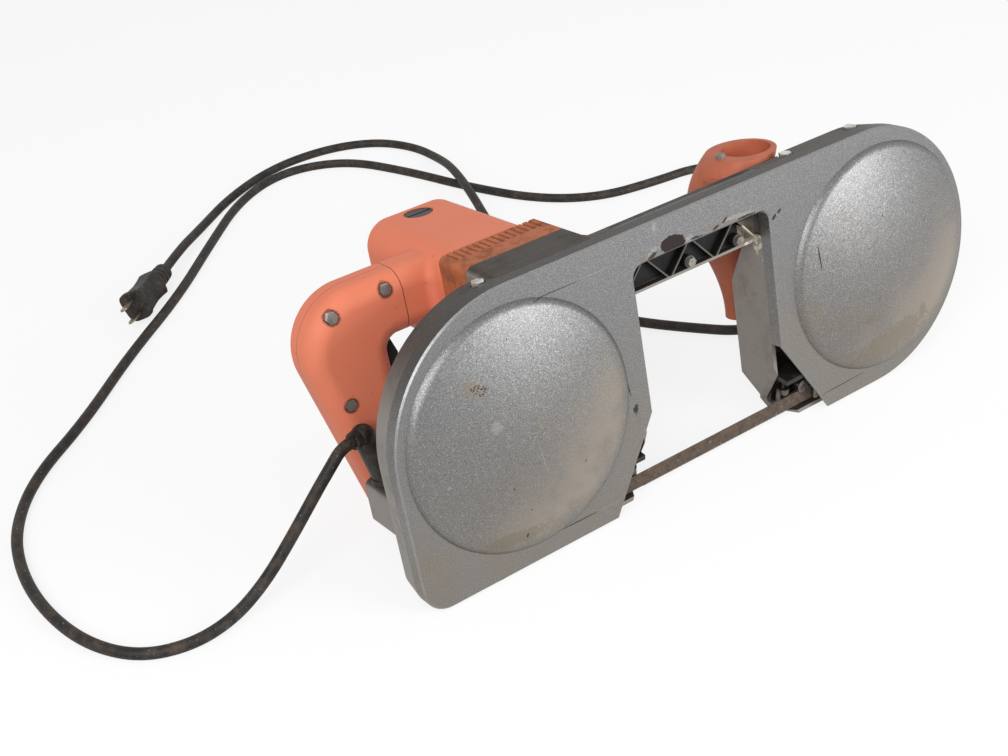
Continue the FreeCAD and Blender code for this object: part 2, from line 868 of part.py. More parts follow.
def frame_casting():
    wall = size.frame_wall
    outer = loft([
        rim_section(size.cover_depth, ZERO, ZERO, size.frame_chamfer_start, size.frame_chamfer_run),
        rim_section(size.rim_depth, size.rim_draft, ZERO, size.frame_back_chamfer_start,
                    size.frame_back_chamfer_run),
    ])
    inner = loft([
        rim_section(size.cover_depth - size.overrun, wall, wall, size.frame_chamfer_start,
                    size.frame_chamfer_run),
        rim_section(size.rim_depth - wall, wall + size.rim_draft, wall, size.frame_back_chamfer_start,
                    size.frame_back_chamfer_run),
    ])
    lug = block((-size.lug_left, size.rim_depth - wall, -size.lug_bottom),
                (-size.lug_right, handle_front, -size.lug_top))
    saddle = block((size.case_left, size.cover_depth, screw_seat - wall),
                   (size.case_right, size.rim_depth, end_radius))
    doc.recompute()
    soft_lug = softened(lug, side_edges(lug.Shape), size.lug_round)
    soft_saddle = softened(saddle, side_edges(saddle.Shape, size.case_left, end_radius),
                           size.band_corner_radius)
    shell = fused(outer, pocket_loft(ZERO, size.rim_depth - wall, size.pocket_depth), soft_lug, soft_saddle)
    hollows = [
        inner,
        pocket_loft(wall, size.rim_depth - wall - size.overrun, size.pocket_depth - wall),
        block((size.bridge_left + wall, size.bridge_depth, size.bridge_edge),
              (size.bridge_right - wall, size.rim_depth + size.overrun, end_radius + size.overrun)),
        block((size.throat_left, size.cover_depth - size.overrun, size.bridge_edge - size.overrun),
              (size.throat_right, bridge_wall_front, size.bridge_edge + wall + size.overrun)),
    ]
    for left, right in ((size.throat_right + wall, size.throat_right + wall + size.guide_window),
                        (size.throat_left - wall - size.guide_window, size.throat_left - wall)):
        hollows.append(block((left, size.cover_depth - size.overrun, -end_radius + wall),
                             (right, size.rim_depth - wall, -size.frame_chamfer_start + wall)))
    body = fused(cut(shell, *hollows), *bridge_walls(), *carriage_seats())
    boss_hole = size.boss_radius + size.seat_gap
    holes = [
        rod(boss_hole, (ZERO, size.rim_depth - wall - size.overrun, ZERO), wall + size.overrun * 2, "+y"),
        rod(size.lever_shaft_radius + size.shaft_gap,
            (lever_x, size.pocket_depth - wall - size.overrun, ZERO),
            wall + size.overrun * 2, "+y"),
    ]
    for x in screw_places:
        holes.append(rod(size.screw_head_radius + size.screw_recess_spare, (x, size.screw_plane, screw_seat),
                         size.rim_draft + size.overrun, "+z"))
        holes.append(rod(size.screw_shank_radius + size.seat_gap,
                         (x, size.screw_plane, screw_seat + size.overrun),
                         size.screw_shank_length + size.overrun, "-z"))
    for x in boss_places:
        holes.append(rod(size.foot_screw_shank + size.seat_gap,
                         (x, boss_front - size.overrun, bridge_boss_height),
                         size.bridge_depth, "+y"))
    return node("frame", cut(body, *holes))


def side_edges(shape, x=None, z=None):
    """Numbers the edges of a block that run along Y: all four, or the one at a corner."""
    found = []
    for number, edge in enumerate(shape.Edges, 1):
        ends = [vertex.Point for vertex in edge.Vertexes]
        along = abs(ends[0].y - ends[1].y) > edge.Length / 2
        here = x is None or abs(ends[0].x - x.number) + abs(ends[0].z - z.number) < 0.001
        if along and here:
            found.append(number)
    return found


def softened(base, numbers, radius):
    """A block with some of its edges rounded."""
    feature = doc.addObject("Part::Fillet", f"{base.Name}_rounded")
    feature.Base = base
    feature.Edges = [(number, radius.number, radius.number) for number in numbers]
    return feature


def rim_screws():
    pieces = []
    for x in screw_places:
        head = hexagon(size.screw_head_radius, (x, size.screw_plane, screw_seat), size.screw_head_height,
                       "+z")
        shank = rod(size.screw_shank_radius, (x, size.screw_plane, screw_seat + size.screw_head_height / 2),
                    size.screw_shank_length + size.screw_head_height / 2, "-z")
        pieces.append(fused(head, shank))
    return node("rim_screws", group(*pieces))


# Gear train: motor pinion, two layshafts and the large gear on the drive shaft


gear_front = size.rim_depth + size.case_wall + size.running_gap * 2
gear_back = gear_front + size.output_gear_width
second_front = plate_back + size.gear_space
first_front = second_front + size.gear_width + size.gear_space
bearing_plate_front = first_front + size.gear_width + size.gear_space
bearing_plate_back = bearing_plate_front + size.bearing_plate_thickness
drive_bearing_front = size.rim_depth - size.boss_reach
drive_bearing_back = drive_bearing_front + size.front_bearing_width
tail_bearing_front = plate_back + size.bearing_lip
tail_bearing_back = tail_bearing_front + size.tail_bearing_width
output_reach = size.output_module * (size.output_teeth + size.second_pinion_teeth) / 2
second_reach = size.second_module * (size.second_gear_teeth + size.first_pinion_teeth) / 2
first_reach = size.first_module * (size.first_gear_teeth + size.motor_pinion_teeth) / 2
second_x = output_reach * cosine(size.second_shaft_angle)
second_z = output_reach * sine(size.second_shaft_angle)
span_x = motor_x - second_x
span_z = motor_z - second_z
span = root(span_x * span_x + span_z * span_z)
span_foot = (second_reach * second_reach - first_reach * first_reach + span * span) / (span * 2)
span_side = root(second_reach * second_reach - span_foot * span_foot)
first_x = second_x + (span_x * span_foot + span_z * span_side) / span
first_z = second_z + (span_z * span_foot - span_x * span_side) / span


def way(from_x, from_z, to_x, to_z):
    """The direction from one axis to another, in degrees from X towards Z."""
    return math.degrees(math.atan2(to_z.number - from_z.number, to_x.number - from_x.number))


second_way = way(ZERO, ZERO, second_x, second_z)
first_way = way(second_x, second_z, first_x, first_z)
motor_way = way(first_x, first_z, motor_x, motor_z)


def gap_towards(direction):
    """Turns a gear so that a gap between teeth faces a direction."""
    return about_y(90 - direction)


def tooth_towards(direction, teeth):
    return about_y(90 - direction - 180 / teeth.number)


def toothed(body, module, teeth, front, width):
    """A spur gear: a disc with one tooth gap cut and repeated round it."""
    pitch_radius = module * teeth / 2
    outer = pitch_radius + module * ADDENDUM_SHARE
    inner = pitch_radius - module * DEDENDUM_SHARE
    half_gap = module * (math.pi * (1 - TOOTH_SHARE) / 2)
    past = outer + module
    low = half_gap + (inner - pitch_radius) * FLANK_SHARE
    high = half_gap + (past - pitch_radius) * FLANK_SHARE
    spun(body, "PartDesign::Revolution", ring(ZERO, outer, front, front + width))
    gap = pocket(body, front, width, [(-high, past), (high, past), (low, inner), (-low, inner)])
    repeat(body, gap, teeth)
    return body


def repeat(body, feature, count):
    pattern = body.newObject("PartDesign::PolarPattern", f"{body.Name}_round")
    pattern.Originals = [feature]
    pattern.Axis = (feature.Profile[0], ["N_Axis"])
    pattern.Angle = 360
    bind(pattern, "Occurrences", count)
    body.Tip = pattern
    return pattern


def bored(body, radius, front, back):
    groove = spun(body, "PartDesign::Groove", ring(ZERO, radius, front - size.overrun, back + size.overrun))
    body.Tip = groove
    return body


def gear(label, module, teeth, front, width, bore, stand):
    body = toothed(new_body(label), module, teeth, front, width)
    bored(body, bore + size.seat_gap, front, front + width)
    return node(label, body, stand)


def layshaft(label, module, teeth, front, width, start, end, stand):
    """A shaft with its pinion cut from the same bar."""
    body = toothed(new_body(label), module, teeth, front, width)
    shaft = spun(body, "PartDesign::Revolution", ring(ZERO, size.layshaft_radius, start, end))
    body.Tip = shaft
    return node(label, body, stand)


def stand_at(x, z, turn=Rotation()):
    return Placement(vector((x, ZERO, z)), turn)


def case_outline(inset):
    """The gear case: a round lobe over the large gear and a square shoulder up to the motor."""
    radius = size.case_radius - inset
    left = size.case_left + inset
    top = end_radius - inset
    return [
        (left, top),
        (size.case_right - inset, top),
        (size.case_right - inset, size.case_side_foot),
        (radius, ZERO, radius, LEFT),
        (ZERO, -radius, radius, LEFT),
        (-radius, ZERO, radius, LEFT),
        (left, root(radius * radius - left * left)),
    ]


def gear_case():
    body = new_body("gear_case_shell")
    back = size.rim_depth + size.case_wall
    base = pad(body, size.rim_depth, size.case_depth, case_outline(ZERO))
    doc.recompute()
    rounded(body, base, depth_edges(base.Shape, [(size.case_left, end_radius)]), size.band_corner_radius)
    spun(body, "PartDesign::Revolution", ring(ZERO, size.boss_radius, drive_bearing_front, back))
    pocket(body, back, size.case_depth, case_outline(size.case_wall))
    bearing = size.front_bearing_radius + size.seat_gap
    spun(body, "PartDesign::Groove",
         ring(ZERO, bearing, drive_bearing_front - size.overrun, drive_bearing_back))
    bored(body, size.drive_gear_seat_radius + size.running_gap, drive_bearing_front, back)
    hole = rod(size.bush_radius + size.seat_gap, (second_x, size.rim_depth - size.overrun, second_z),
               size.case_wall + size.overrun * 2, "+y")
    return node("gear_case", cut(body, hole))


def gear_plate():
    body = new_body("gear_plate_shell")
    end = plate_back + size.rear_boss_reach
    base = pad(body, case_back, size.plate_thickness, case_outline(ZERO))
    doc.recompute()
    rounded(body, base, depth_edges(base.Shape, [(size.case_left, end_radius)]), size.band_corner_radius)
    spun(body, "PartDesign::Revolution", ring(ZERO, size.rear_boss_radius, plate_back, end))
    bearing = size.tail_bearing_radius + size.seat_gap
    spun(body, "PartDesign::Groove", ring(ZERO, bearing, tail_bearing_front, end + size.overrun))
    bored(body, size.drive_tail_radius + size.running_gap, case_back, end)
    start = case_back - size.overrun
    through = size.plate_thickness + size.overrun * 2
    bush_hole = rod(size.bush_radius + size.seat_gap, (first_x, start, first_z), through, "+y")
    shaft_hole = rod(size.bush_radius, (second_x, start, second_z), through, "+y")
    return node("gear_plate", cut(body, bush_hole, shaft_hole))


def layshaft_bushes():
    bore = size.layshaft_radius + size.shaft_gap
    thick = size.bearing_plate_thickness
    return node("layshaft_bushes", group(
        tube(bore, size.bush_radius, (second_x, size.rim_depth, second_z), size.case_wall, "+y"),
        tube(bore, size.bush_radius, (second_x, bearing_plate_front, second_z), thick, "+y"),
        tube(bore, size.bush_radius, (first_x, case_back, first_z), size.plate_thickness, "+y"),
        tube(bore, size.bush_radius, (first_x, bearing_plate_front, first_z), thick, "+y"),
    ))


def gear_train():
    drive_turn = stand_at(ZERO, ZERO, gap_towards(second_way))
    gear("output_gear", size.output_module, size.output_teeth, gear_front, size.output_gear_width,
         size.drive_gear_seat_radius, drive_turn)
    layshaft("second_shaft", size.output_module, size.second_pinion_teeth, gear_front,
             size.output_gear_width,
             size.rim_depth, bearing_plate_back,
             stand_at(second_x, second_z, tooth_towards(second_way + 180, size.second_pinion_teeth)))
    gear("second_gear", size.second_module, size.second_gear_teeth, second_front, size.gear_width,
         size.layshaft_radius, stand_at(second_x, second_z, gap_towards(first_way)))
    layshaft("first_shaft", size.second_module, size.first_pinion_teeth, second_front, size.gear_width,
             case_back, bearing_plate_back,
             stand_at(first_x, first_z, tooth_towards(first_way + 180, size.first_pinion_teeth)))
    gear("first_gear", size.first_module, size.first_gear_teeth, first_front, size.gear_width,
         size.layshaft_radius, stand_at(first_x, first_z, gap_towards(motor_way)))


def drive_line():
    """The drive shaft with its two bearings and the nut that holds the wheel."""
    shaft = size.drive_shaft_radius
    thread_front = size.hub_front - size.drive_nut_height - size.drive_thread_proud
    thread_back = size.hub_front + size.wheel_web
    shoulder = drive_bearing_back + size.running_gap
    turned("drive_shaft", ZERO, ZERO, [
        (ZERO, thread_front),
        (size.drive_thread_radius, thread_front),
        (size.drive_thread_radius, thread_back),
        (shaft, thread_back),
        (shaft, shoulder),
        (size.drive_gear_seat_radius, shoulder),
        (size.drive_gear_seat_radius, gear_back),
        (size.drive_tail_radius, gear_back),
        (size.drive_tail_radius, tail_bearing_back),
        (ZERO, tail_bearing_back),
    ])
    turned("drive_bearing_front", ZERO, ZERO,
           ring(shaft + size.shaft_gap, size.front_bearing_radius, drive_bearing_front, drive_bearing_back))
    turned("drive_bearing_rear", ZERO, ZERO,
           ring(size.drive_tail_radius + size.shaft_gap, size.tail_bearing_radius, tail_bearing_front,
                tail_bearing_back))
    start = size.hub_front - size.drive_nut_height
    nut = hexagon(size.drive_nut_radius, (ZERO, start, ZERO), size.drive_nut_height, "+y")
    bore = rod(size.drive_thread_radius + size.seat_gap, (ZERO, start - size.overrun, ZERO),
               size.drive_nut_height + size.overrun * 2, "+y")
    node("drive_nut", cut(nut, bore))


# Wheels, tyres and blade


def wheel(label, bore, axis_x):
    """A spoked-out wheel: hub, web with six round holes, and a rim under the tyre."""
    rim_inner = rim_radius - size.wheel_rim
    web_front = size.wheel_plane - size.wheel_web / 2
    web_back = size.wheel_plane + size.wheel_web / 2
    body = new_body(label)
    spun(body, "PartDesign::Revolution", [
        (bore, size.hub_front), (size.hub_radius, size.hub_front), (size.hub_radius, web_front),
        (rim_inner, web_front), (rim_inner, tyre_front), (rim_radius, tyre_front), (rim_radius, tyre_back),
        (rim_inner, tyre_back), (rim_inner, web_back), (size.hub_radius, web_back),
        (size.hub_radius, size.hub_back),
        (bore, size.hub_back),
    ])
    reach = size.wheel_hole_circle
    radius = size.wheel_hole_radius
    hole = pocket(body, web_front, size.wheel_web, [
        (-radius, reach, radius, LEFT),
        (ZERO, reach + radius, radius, LEFT),
        (radius, reach, radius, LEFT),
        (ZERO, reach - radius, radius, LEFT),
    ])
    repeat(body, hole, as_size(6))
    node(label, body, stand_at(axis_x, ZERO))
    tyre = label.replace("wheel", "tyre")
    turned(tyre, axis_x, ZERO, ring(rim_radius + size.seat_gap, wheel_radius, tyre_front, tyre_back))


def idler_axle():
    head_front = size.hub_front - size.running_gap - size.axle_head
    head_back = size.hub_front - size.running_gap
    bearing_bore = size.axle_radius + size.shaft_gap
    turned("idler_bearing", size.wheel_distance, ZERO,
           ring(bearing_bore, size.idler_bearing_radius, size.hub_front, size.hub_back))
    turned("idler_axle", size.wheel_distance, ZERO, [
        (ZERO, head_front),
        (size.axle_head_radius, head_front),
        (size.axle_head_radius, head_back),
        (size.axle_radius, head_back),
        (size.axle_radius, size.carriage_front),
        (size.axle_seat_radius, size.carriage_front),
        (size.axle_seat_radius, size.axle_seat_end),
        (ZERO, size.axle_seat_end),
    ])


guide_reach = size.guide_pitch * 2
front_guide_x = size.throat_right + size.frame_wall + size.front_guide_place
rear_guide_x = size.throat_left - size.frame_wall - size.rear_guide_place
blade_front = size.wheel_plane - size.blade_width / 2


def blade_section(x, share):
    """A cross-section of the band: flat under a wheel at share 0, on edge in the guides at share 1."""
    half_width = size.blade_width.number / 2
    half_thick = size.blade_thickness.number / 2
    run = (blade_inner.number + blade_outer.number) / 2
    centre_y = size.wheel_plane.number + (size.cut_plane.number - size.wheel_plane.number) * share
    centre_z = -run + (run - size.cut_height.number) * share
    turn = Rotation(Vector(1, 0, 0), (size.blade_lean_angle.number - 90) * share)
    corners = []
    for across, up in ((-1, -1), (1, -1), (1, 1), (-1, 1), (-1, -1)):
        corner = turn.multVec(Vector(0, across * half_width, up * half_thick))
        corners.append(corner + Vector(x, centre_y, centre_z))
    return Part.makePolygon(corners)


def half_band(axis_x, start):
    """The half of the band that goes round a wheel, from the top or the bottom run to the other."""
    axis = Vector(0, 1, 0)
    base = Vector(axis_x.number, blade_front.number, 0)
    outer = Part.makeCylinder(blade_outer.number, size.blade_width.number, base, axis)
    inner = Part.makeCylinder(blade_inner.number, size.blade_width.number, base, axis)
    reach = blade_outer.number * 2
    side = Part.makeBox(reach, size.blade_width.number, reach * 2,
                        Vector(start.number, blade_front.number, -reach))
    return outer.cut(inner).common(side)


def blade():
    straight_left = (rear_guide_x - guide_reach - size.guide_back_roller_radius).number
    straight_right = (front_guide_x + guide_reach + size.guide_back_roller_radius).number
    far = size.wheel_distance.number
    steps = 5
    rear = [blade_section(straight_left * step / steps, step / steps) for step in range(steps + 1)]
    front = []
    for step in range(steps + 1):
        front.append(blade_section(far + (straight_right - far) * step / steps, step / steps))
    middle = [rear[-1], front[-1]]
    top = Part.makeBox(far, size.blade_width.number, size.blade_thickness.number,
                       Vector(0, blade_front.number, blade_inner.number))
    runs = [Part.makeLoft(sections, True, True) for sections in (rear, middle, front)]
    ends = [half_band(ZERO, -blade_outer * 2), half_band(size.wheel_distance, size.wheel_distance)]
    band = Part.makeSolid(top.multiFuse(runs + ends).removeSplitter().Shells[0])
    feature = doc.addObject("Part::Feature", "blade")
    feature.Shape = band
    return node("blade", feature)


# Motor: a two-part orange housing, armature, stator, fan and brushes


tail_bearing_end = size.motor_end - size.motor_end_wall
tail_bearing_start = tail_bearing_end - size.motor_tail_bearing_width
cavity_radius = size.barrel_radius - size.motor_wall - size.cap_sink * 2
core_end = size.core_start + size.core_length
commutator_end = size.commutator_start + size.commutator_length
cap_top = size.barrel_radius - size.cap_sink
cap_foot = cap_top - size.cap_height


def rectangle(left, right, low, high):
    return [(left, high), (right, high), (right, low), (left, low)]


def lengthways_edges(shape):
    """Numbers the edges of a block that run along X."""
    found = []
    for number, edge in enumerate(shape.Edges, 1):
        ends = [vertex.Point for vertex in edge.Vertexes]
        if abs(ends[0].x - ends[1].x) > edge.Length / 2:
            found.append(number)
    return found


def grooves(body, front, length, corners, axis, pitch):
    """A row of shallow grooves that run back along the ribbed band."""
    first = pocket(body, front, length, corners)
    pattern = body.newObject("PartDesign::LinearPattern", f"{body.Name}_row")
    pattern.Originals = [first]
    pattern.Direction = (first.Profile[0], [axis])
    bind(pattern, "Length", pitch * (size.band_groove_count - 1))
    bind(pattern, "Occurrences", size.band_groove_count)
    body.Tip = pattern


def stub_root(shape):
    """Numbers the edges where the handle's stub grows out of the motor's side."""
    found = []
    for number, edge in enumerate(shape.Edges, 1):
        box = edge.BoundBox
        gap = size.seat_gap.number
        beside = box.XMin > (motor_x - size.barrel_radius).number - gap and box.XMax < motor_x.number
        within = box.YMin > handle_front.number - gap and box.YMax < handle_rear.number + gap
        if beside and within:
            found.append(number)
    return found


def ribbed_band():
    """The square band between the gear plate and the barrel, ribbed on top and open inside."""
    body = new_body("motor_band")
    foot = size.band_foot
    band = pad(body, plate_back, size.band_depth,
               rectangle(size.case_left, size.case_right, foot, end_radius))
    doc.recompute()
    corners = [(size.case_left, end_radius), (size.case_left, foot), (size.case_right, foot)]
    rounded(body, band, depth_edges(band.Shape, corners), size.band_corner_radius)
    half = size.band_groove / 2
    ribs_front = plate_back + size.band_depth / 2
    start = size.case_left + size.band_groove_margin
    top = rectangle(start - half, start + half, end_radius - size.band_groove_depth,
                    end_radius + size.overrun)
    grooves(body, ribs_front, size.band_depth / 2, top, "H_Axis", size.band_groove_pitch)
    wall = size.motor_wall
    inside = rectangle(size.case_left + wall, size.case_right - wall, foot + wall, end_radius - wall)
    body.Tip = pocket(body, plate_back, bearing_plate_back - plate_back, inside)
    bore = rod(cavity_radius, (motor_x, plate_back, motor_z), size.band_depth + size.overrun, "+y")
    return cut(body, bore)


def motor_outside(barrel):
    """Band, barrel and the arm that the handle's halves close on, flared where it grows out of the side."""
    arm = block((-size.stub_reach, handle_front, handle_arm_foot), (motor_x, handle_rear, handle_top))
    doc.recompute()
    soft_arm = softened(arm, lengthways_edges(arm.Shape), size.handle_round)
    hollow = rod(cavity_radius, (motor_x, handle_front - size.overrun, motor_z),
                 size.handle_half_depth * 2 + size.overrun * 2, "+y")
    whole = fused(ribbed_band(), barrel, cut(soft_arm, hollow))
    doc.recompute()
    return softened(whole, stub_root(whole.Shape), size.stub_flare)


def motor_housing():
    body = new_body("motor_shell")
    half = size.barrel_radius
    sides = (motor_x - half, motor_x + half)
    levels = (motor_z - half, motor_z + half)
    barrel = pad(body, band_back - size.overrun, size.motor_end - band_back + size.overrun,
                 rectangle(*sides, *levels))
    doc.recompute()
    corners = [(x, z) for x in sides for z in levels]
    barrel = rounded(body, barrel, depth_edges(barrel.Shape, corners), size.barrel_corner)
    rounded(body, barrel, face_at(barrel.Shape, size.motor_end), size.barrel_end_round)
    wall = size.motor_wall
    seat = size.motor_tail_bearing_radius + size.seat_gap
    hollow = spun(body, "PartDesign::Groove", [
        (ZERO, bearing_plate_back - size.overrun),
        (cavity_radius, bearing_plate_back - size.overrun),
        (cavity_radius, tail_bearing_end),
        (seat + wall, tail_bearing_end),
        (seat + wall, tail_bearing_start),
        (seat, tail_bearing_start),
        (seat, tail_bearing_end),
        (ZERO, tail_bearing_end),
    ], motor_x, motor_z)
    body.Tip = hollow
    holes = []
    for direction in ("+z", "-z"):
        holes.append(rod(size.cap_radius, (motor_x, size.brush_place, motor_z),
                         size.barrel_radius + size.overrun, direction))
    return node("motor_housing", cut(motor_outside(body), *holes))


def motor_inside():
    armature = stand_at(motor_x, motor_z, tooth_towards(motor_way + 180, size.motor_pinion_teeth))
    body = toothed(new_body("armature_shaft"), size.first_module, size.motor_pinion_teeth, first_front,
                   size.gear_width)
    nose_start = first_front + size.gear_width
    nose_end = bearing_plate_back + size.running_gap
    shaft = spun(body, "PartDesign::Revolution", [
        (ZERO, nose_start),
        (size.armature_nose_radius, nose_start),
        (size.armature_nose_radius, nose_end),
        (size.armature_shaft_radius, nose_end),
        (size.armature_shaft_radius, commutator_end),
        (size.armature_tail_radius, commutator_end),
        (size.armature_tail_radius, tail_bearing_end),
        (ZERO, tail_bearing_end),
    ])
    body.Tip = shaft
    node("armature_shaft", body, armature)
    seat = size.armature_shaft_radius + size.seat_gap
    turned("armature_core", motor_x, motor_z, ring(seat, size.armature_radius, size.core_start, core_end))
    turned("commutator", motor_x, motor_z,
           ring(seat, size.commutator_radius, size.commutator_start, commutator_end))
    turned("stator", motor_x, motor_z, ring(size.stator_inner_radius, cavity_radius - size.seat_gap,
                                            size.core_start, core_end))
    turned("motor_bearing_front", motor_x, motor_z, ring(size.armature_nose_radius + size.shaft_gap,
                                                         size.motor_bearing_radius, bearing_plate_front,
                                                         bearing_plate_back))
    turned("motor_bearing_rear", motor_x, motor_z, ring(size.armature_tail_radius + size.shaft_gap,
                                                        size.motor_tail_bearing_radius, tail_bearing_start,
                                                        tail_bearing_end))
    fan = new_body("fan")
    disc_back = size.fan_start + size.fan_disc
    spun(fan, "PartDesign::Revolution", ring(seat, size.fan_radius, size.fan_start, disc_back))
    half = size.fan_blade_thickness / 2
    vane = pad(fan, disc_back - size.seat_gap, size.fan_blade_height,
               rectangle(size.fan_blade_start, size.fan_radius - size.overrun, -half, half))
    repeat(fan, vane, size.fan_blade_count)
    node("fan", fan, stand_at(motor_x, motor_z))


def bearing_plate():
    wall = size.motor_wall + size.seat_gap
    plate = block((size.case_left + wall, bearing_plate_front, size.band_foot + wall),
                  (size.case_right - wall, bearing_plate_back, end_radius - wall))
    start = bearing_plate_front - size.overrun
    through = size.bearing_plate_thickness + size.overrun * 2
    holes = [rod(size.motor_bearing_radius + size.seat_gap, (motor_x, start, motor_z), through, "+y")]
    for x, z in ((second_x, second_z), (first_x, first_z)):
        holes.append(rod(size.bush_radius + size.seat_gap, (x, start, z), through, "+y"))
    return node("bearing_plate", cut(plate, *holes))


def brush_gear():
    """Two carbon brushes on the commutator and the slotted caps that close their holes."""
    half = size.brush_wide / 2
    near = size.commutator_radius + size.running_gap
    far = cap_foot - size.running_gap
    spans = ((motor_z + near, motor_z + far), (motor_z - far, motor_z - near))
    brushes = []
    for low, high in spans:
        brushes.append(block((motor_x - half, size.brush_place - half, low),
                             (motor_x + half, size.brush_place + half, high)))
    node("brushes", group(*brushes))
    caps = []
    for direction, sign in (("+z", 1), ("-z", -1)):
        cap = rod(size.cap_radius - size.seat_gap, (motor_x, size.brush_place, motor_z + sign * cap_foot),
                  size.cap_height, direction)
        slot_high = motor_z + sign * (cap_top + size.overrun)
        slot_low = motor_z + sign * (cap_top - size.cap_slot)
        low, high = (slot_low, slot_high) if sign > 0 else (slot_high, slot_low)
        slot = block((motor_x - size.cap_radius, size.brush_place - size.cap_slot / 2, low),
                     (motor_x + size.cap_radius, size.brush_place + size.cap_slot / 2, high))
        caps.append(cut(cap, slot))
    node("brush_caps", group(*caps))


# Rear handle: two moulded halves around the switch and the trigger


handle_screw_places = ((-size.top_screw_x, handle_top - size.top_screw_drop),
                       (-size.bend_screw_x, handle_top - size.bend_screw_drop),
                       (-size.grip_screw_x, size.grip_screw_z))


def handle_outline():
    """The closed loop's outer side: a straight back that runs into a round bend at the top."""
    bend = size.handle_bend
    rake = size.handle_rake_angle
    centre_x = bend - size.handle_back
    centre_z = handle_top - bend
    back_x = centre_x - bend * cosine(rake)
    back_z = centre_z - bend * sine(rake)
    foot_x = back_x + (back_z + size.handle_foot) * sine(rake) / cosine(rake)
    return [
        (-size.stub_reach, handle_top),
        (-size.stub_reach, handle_arm_foot),
        (-size.handle_grip_front, handle_arm_foot),
        (-size.handle_grip_front, -size.handle_heel_top),
        (ZERO, -size.handle_heel_top),
        (ZERO, -size.handle_foot),
        (foot_x, -size.handle_foot),
        (back_x, back_z, bend, LEFT),
        (centre_x, handle_top),
    ]


def outer_edges(shape, depth):
    """Names the edges round a handle half's outer face, apart from the one against the motor."""
    names = []
    for number, edge in enumerate(shape.Edges, 1):
        box = edge.BoundBox
        on_face = abs(box.YMin - depth.number) < 0.001 and abs(box.YMax - depth.number) < 0.001
        at_seam = abs(box.XMin + size.stub_reach.number) < 0.001 and box.XLength < 0.001
        if on_face and not at_seam:
            names.append(f"Edge{number}")
    return names


def floor_block():
    """A block below the surface that the saw stands on, used to trim what rests there."""
    feature = doc.addObject("Part::Box", "floor_block")
    bind(feature, "Length", size.handle_back * 4)
    bind(feature, "Width", size.motor_end * 2)
    bind(feature, "Height", end_radius)
    corner = vector((-size.handle_back * 2, size.cover_depth, -end_radius))
    under = vector((ZERO, -size.motor_end / 2, -end_radius))
    tilt = Rotation(Vector(1, 0, 0), lean)
    feature.Placement = Placement(corner, tilt) * Placement(under, Rotation())
    return feature


def handle_half(label, front, outer_depth):
    body = new_body(f"{label}_shell")
    base = pad(body, front, size.handle_half_depth, handle_outline())
    doc.recompute()
    inner = [(-size.handle_grip_front, handle_arm_foot),
             (-size.handle_grip_front, -size.handle_heel_top)]
    base = rounded(body, base, depth_edges(base.Shape, inner), size.handle_inner_round)
    base = rounded(body, base, outer_edges(base.Shape, outer_depth), size.handle_round)
    gap = size.running_gap
    width = size.switch_half_width + size.seat_gap
    room = block((-size.switch_back - size.seat_gap, size.handle_plane - width,
                  size.switch_foot - size.seat_gap),
                 (-size.trigger_back + size.trigger_nose, size.handle_plane + width,
                  size.switch_top + size.seat_gap))
    slot = block((-size.trigger_back - size.trigger_travel,
                  size.handle_plane - size.trigger_half_width - gap,
                  size.trigger_foot - gap),
                 (size.handle_inner_round - size.handle_grip_front + size.overrun,
                  size.handle_plane + size.trigger_half_width + gap,
                  size.trigger_top + gap))
    tools = [floor_block(), room, slot]
    for x, z in handle_screw_places:
        tools.append(rod(size.handle_screw_shank + size.seat_gap, (x, handle_front - size.overrun, z),
                         size.handle_screw_depth + size.handle_screw_length + size.overrun, "+y"))
        tools.append(hexagon(size.handle_screw_radius + size.handle_screw_spare,
                             (x, handle_front - size.overrun, z),
                             size.handle_screw_depth + size.overrun, "+y"))
    return node(label, cut(body, *tools))


def handle_screws():
    pieces = []
    for x, z in handle_screw_places:
        head = hexagon(size.handle_screw_radius, (x, handle_front + size.handle_screw_spare, z),
                       size.handle_screw_depth - size.handle_screw_spare, "+y")
        shank = rod(size.handle_screw_shank, (x, handle_front + size.handle_screw_depth / 2, z),
                    size.handle_screw_depth / 2 + size.handle_screw_length, "+y")
        pieces.append(fused(head, shank))
    return node("handle_screws", group(*pieces))


def trigger_and_switch():
    width = size.trigger_half_width
    front = size.handle_plane - width
    nose = size.trigger_nose
    body = prism(front, width * 2, [
        (-size.trigger_back, size.trigger_top),
        (-size.trigger_front - nose, size.trigger_top),
        (-size.trigger_front, size.trigger_top - nose * 3),
        (-size.trigger_front - nose, size.trigger_foot + nose),
        (-size.handle_grip_front - nose / 2, size.trigger_foot),
        (-size.trigger_back, size.trigger_foot),
    ])
    node("trigger", body)
    level = (size.trigger_top + size.trigger_foot) / 2
    node("trigger_spring", tube(size.spring_bore, size.spring_radius,
                                (-size.switch_front, size.handle_plane, level),
                                size.switch_front - size.trigger_back, "+x"))
    half = size.switch_half_width
    node("switch_body", group(block((-size.switch_back, size.handle_plane - half, size.switch_foot),
                                    (-size.switch_front, size.handle_plane + half, size.switch_top))))


# Blade tension: a sliding carriage for the front wheel, a spring and a cam lever at the back


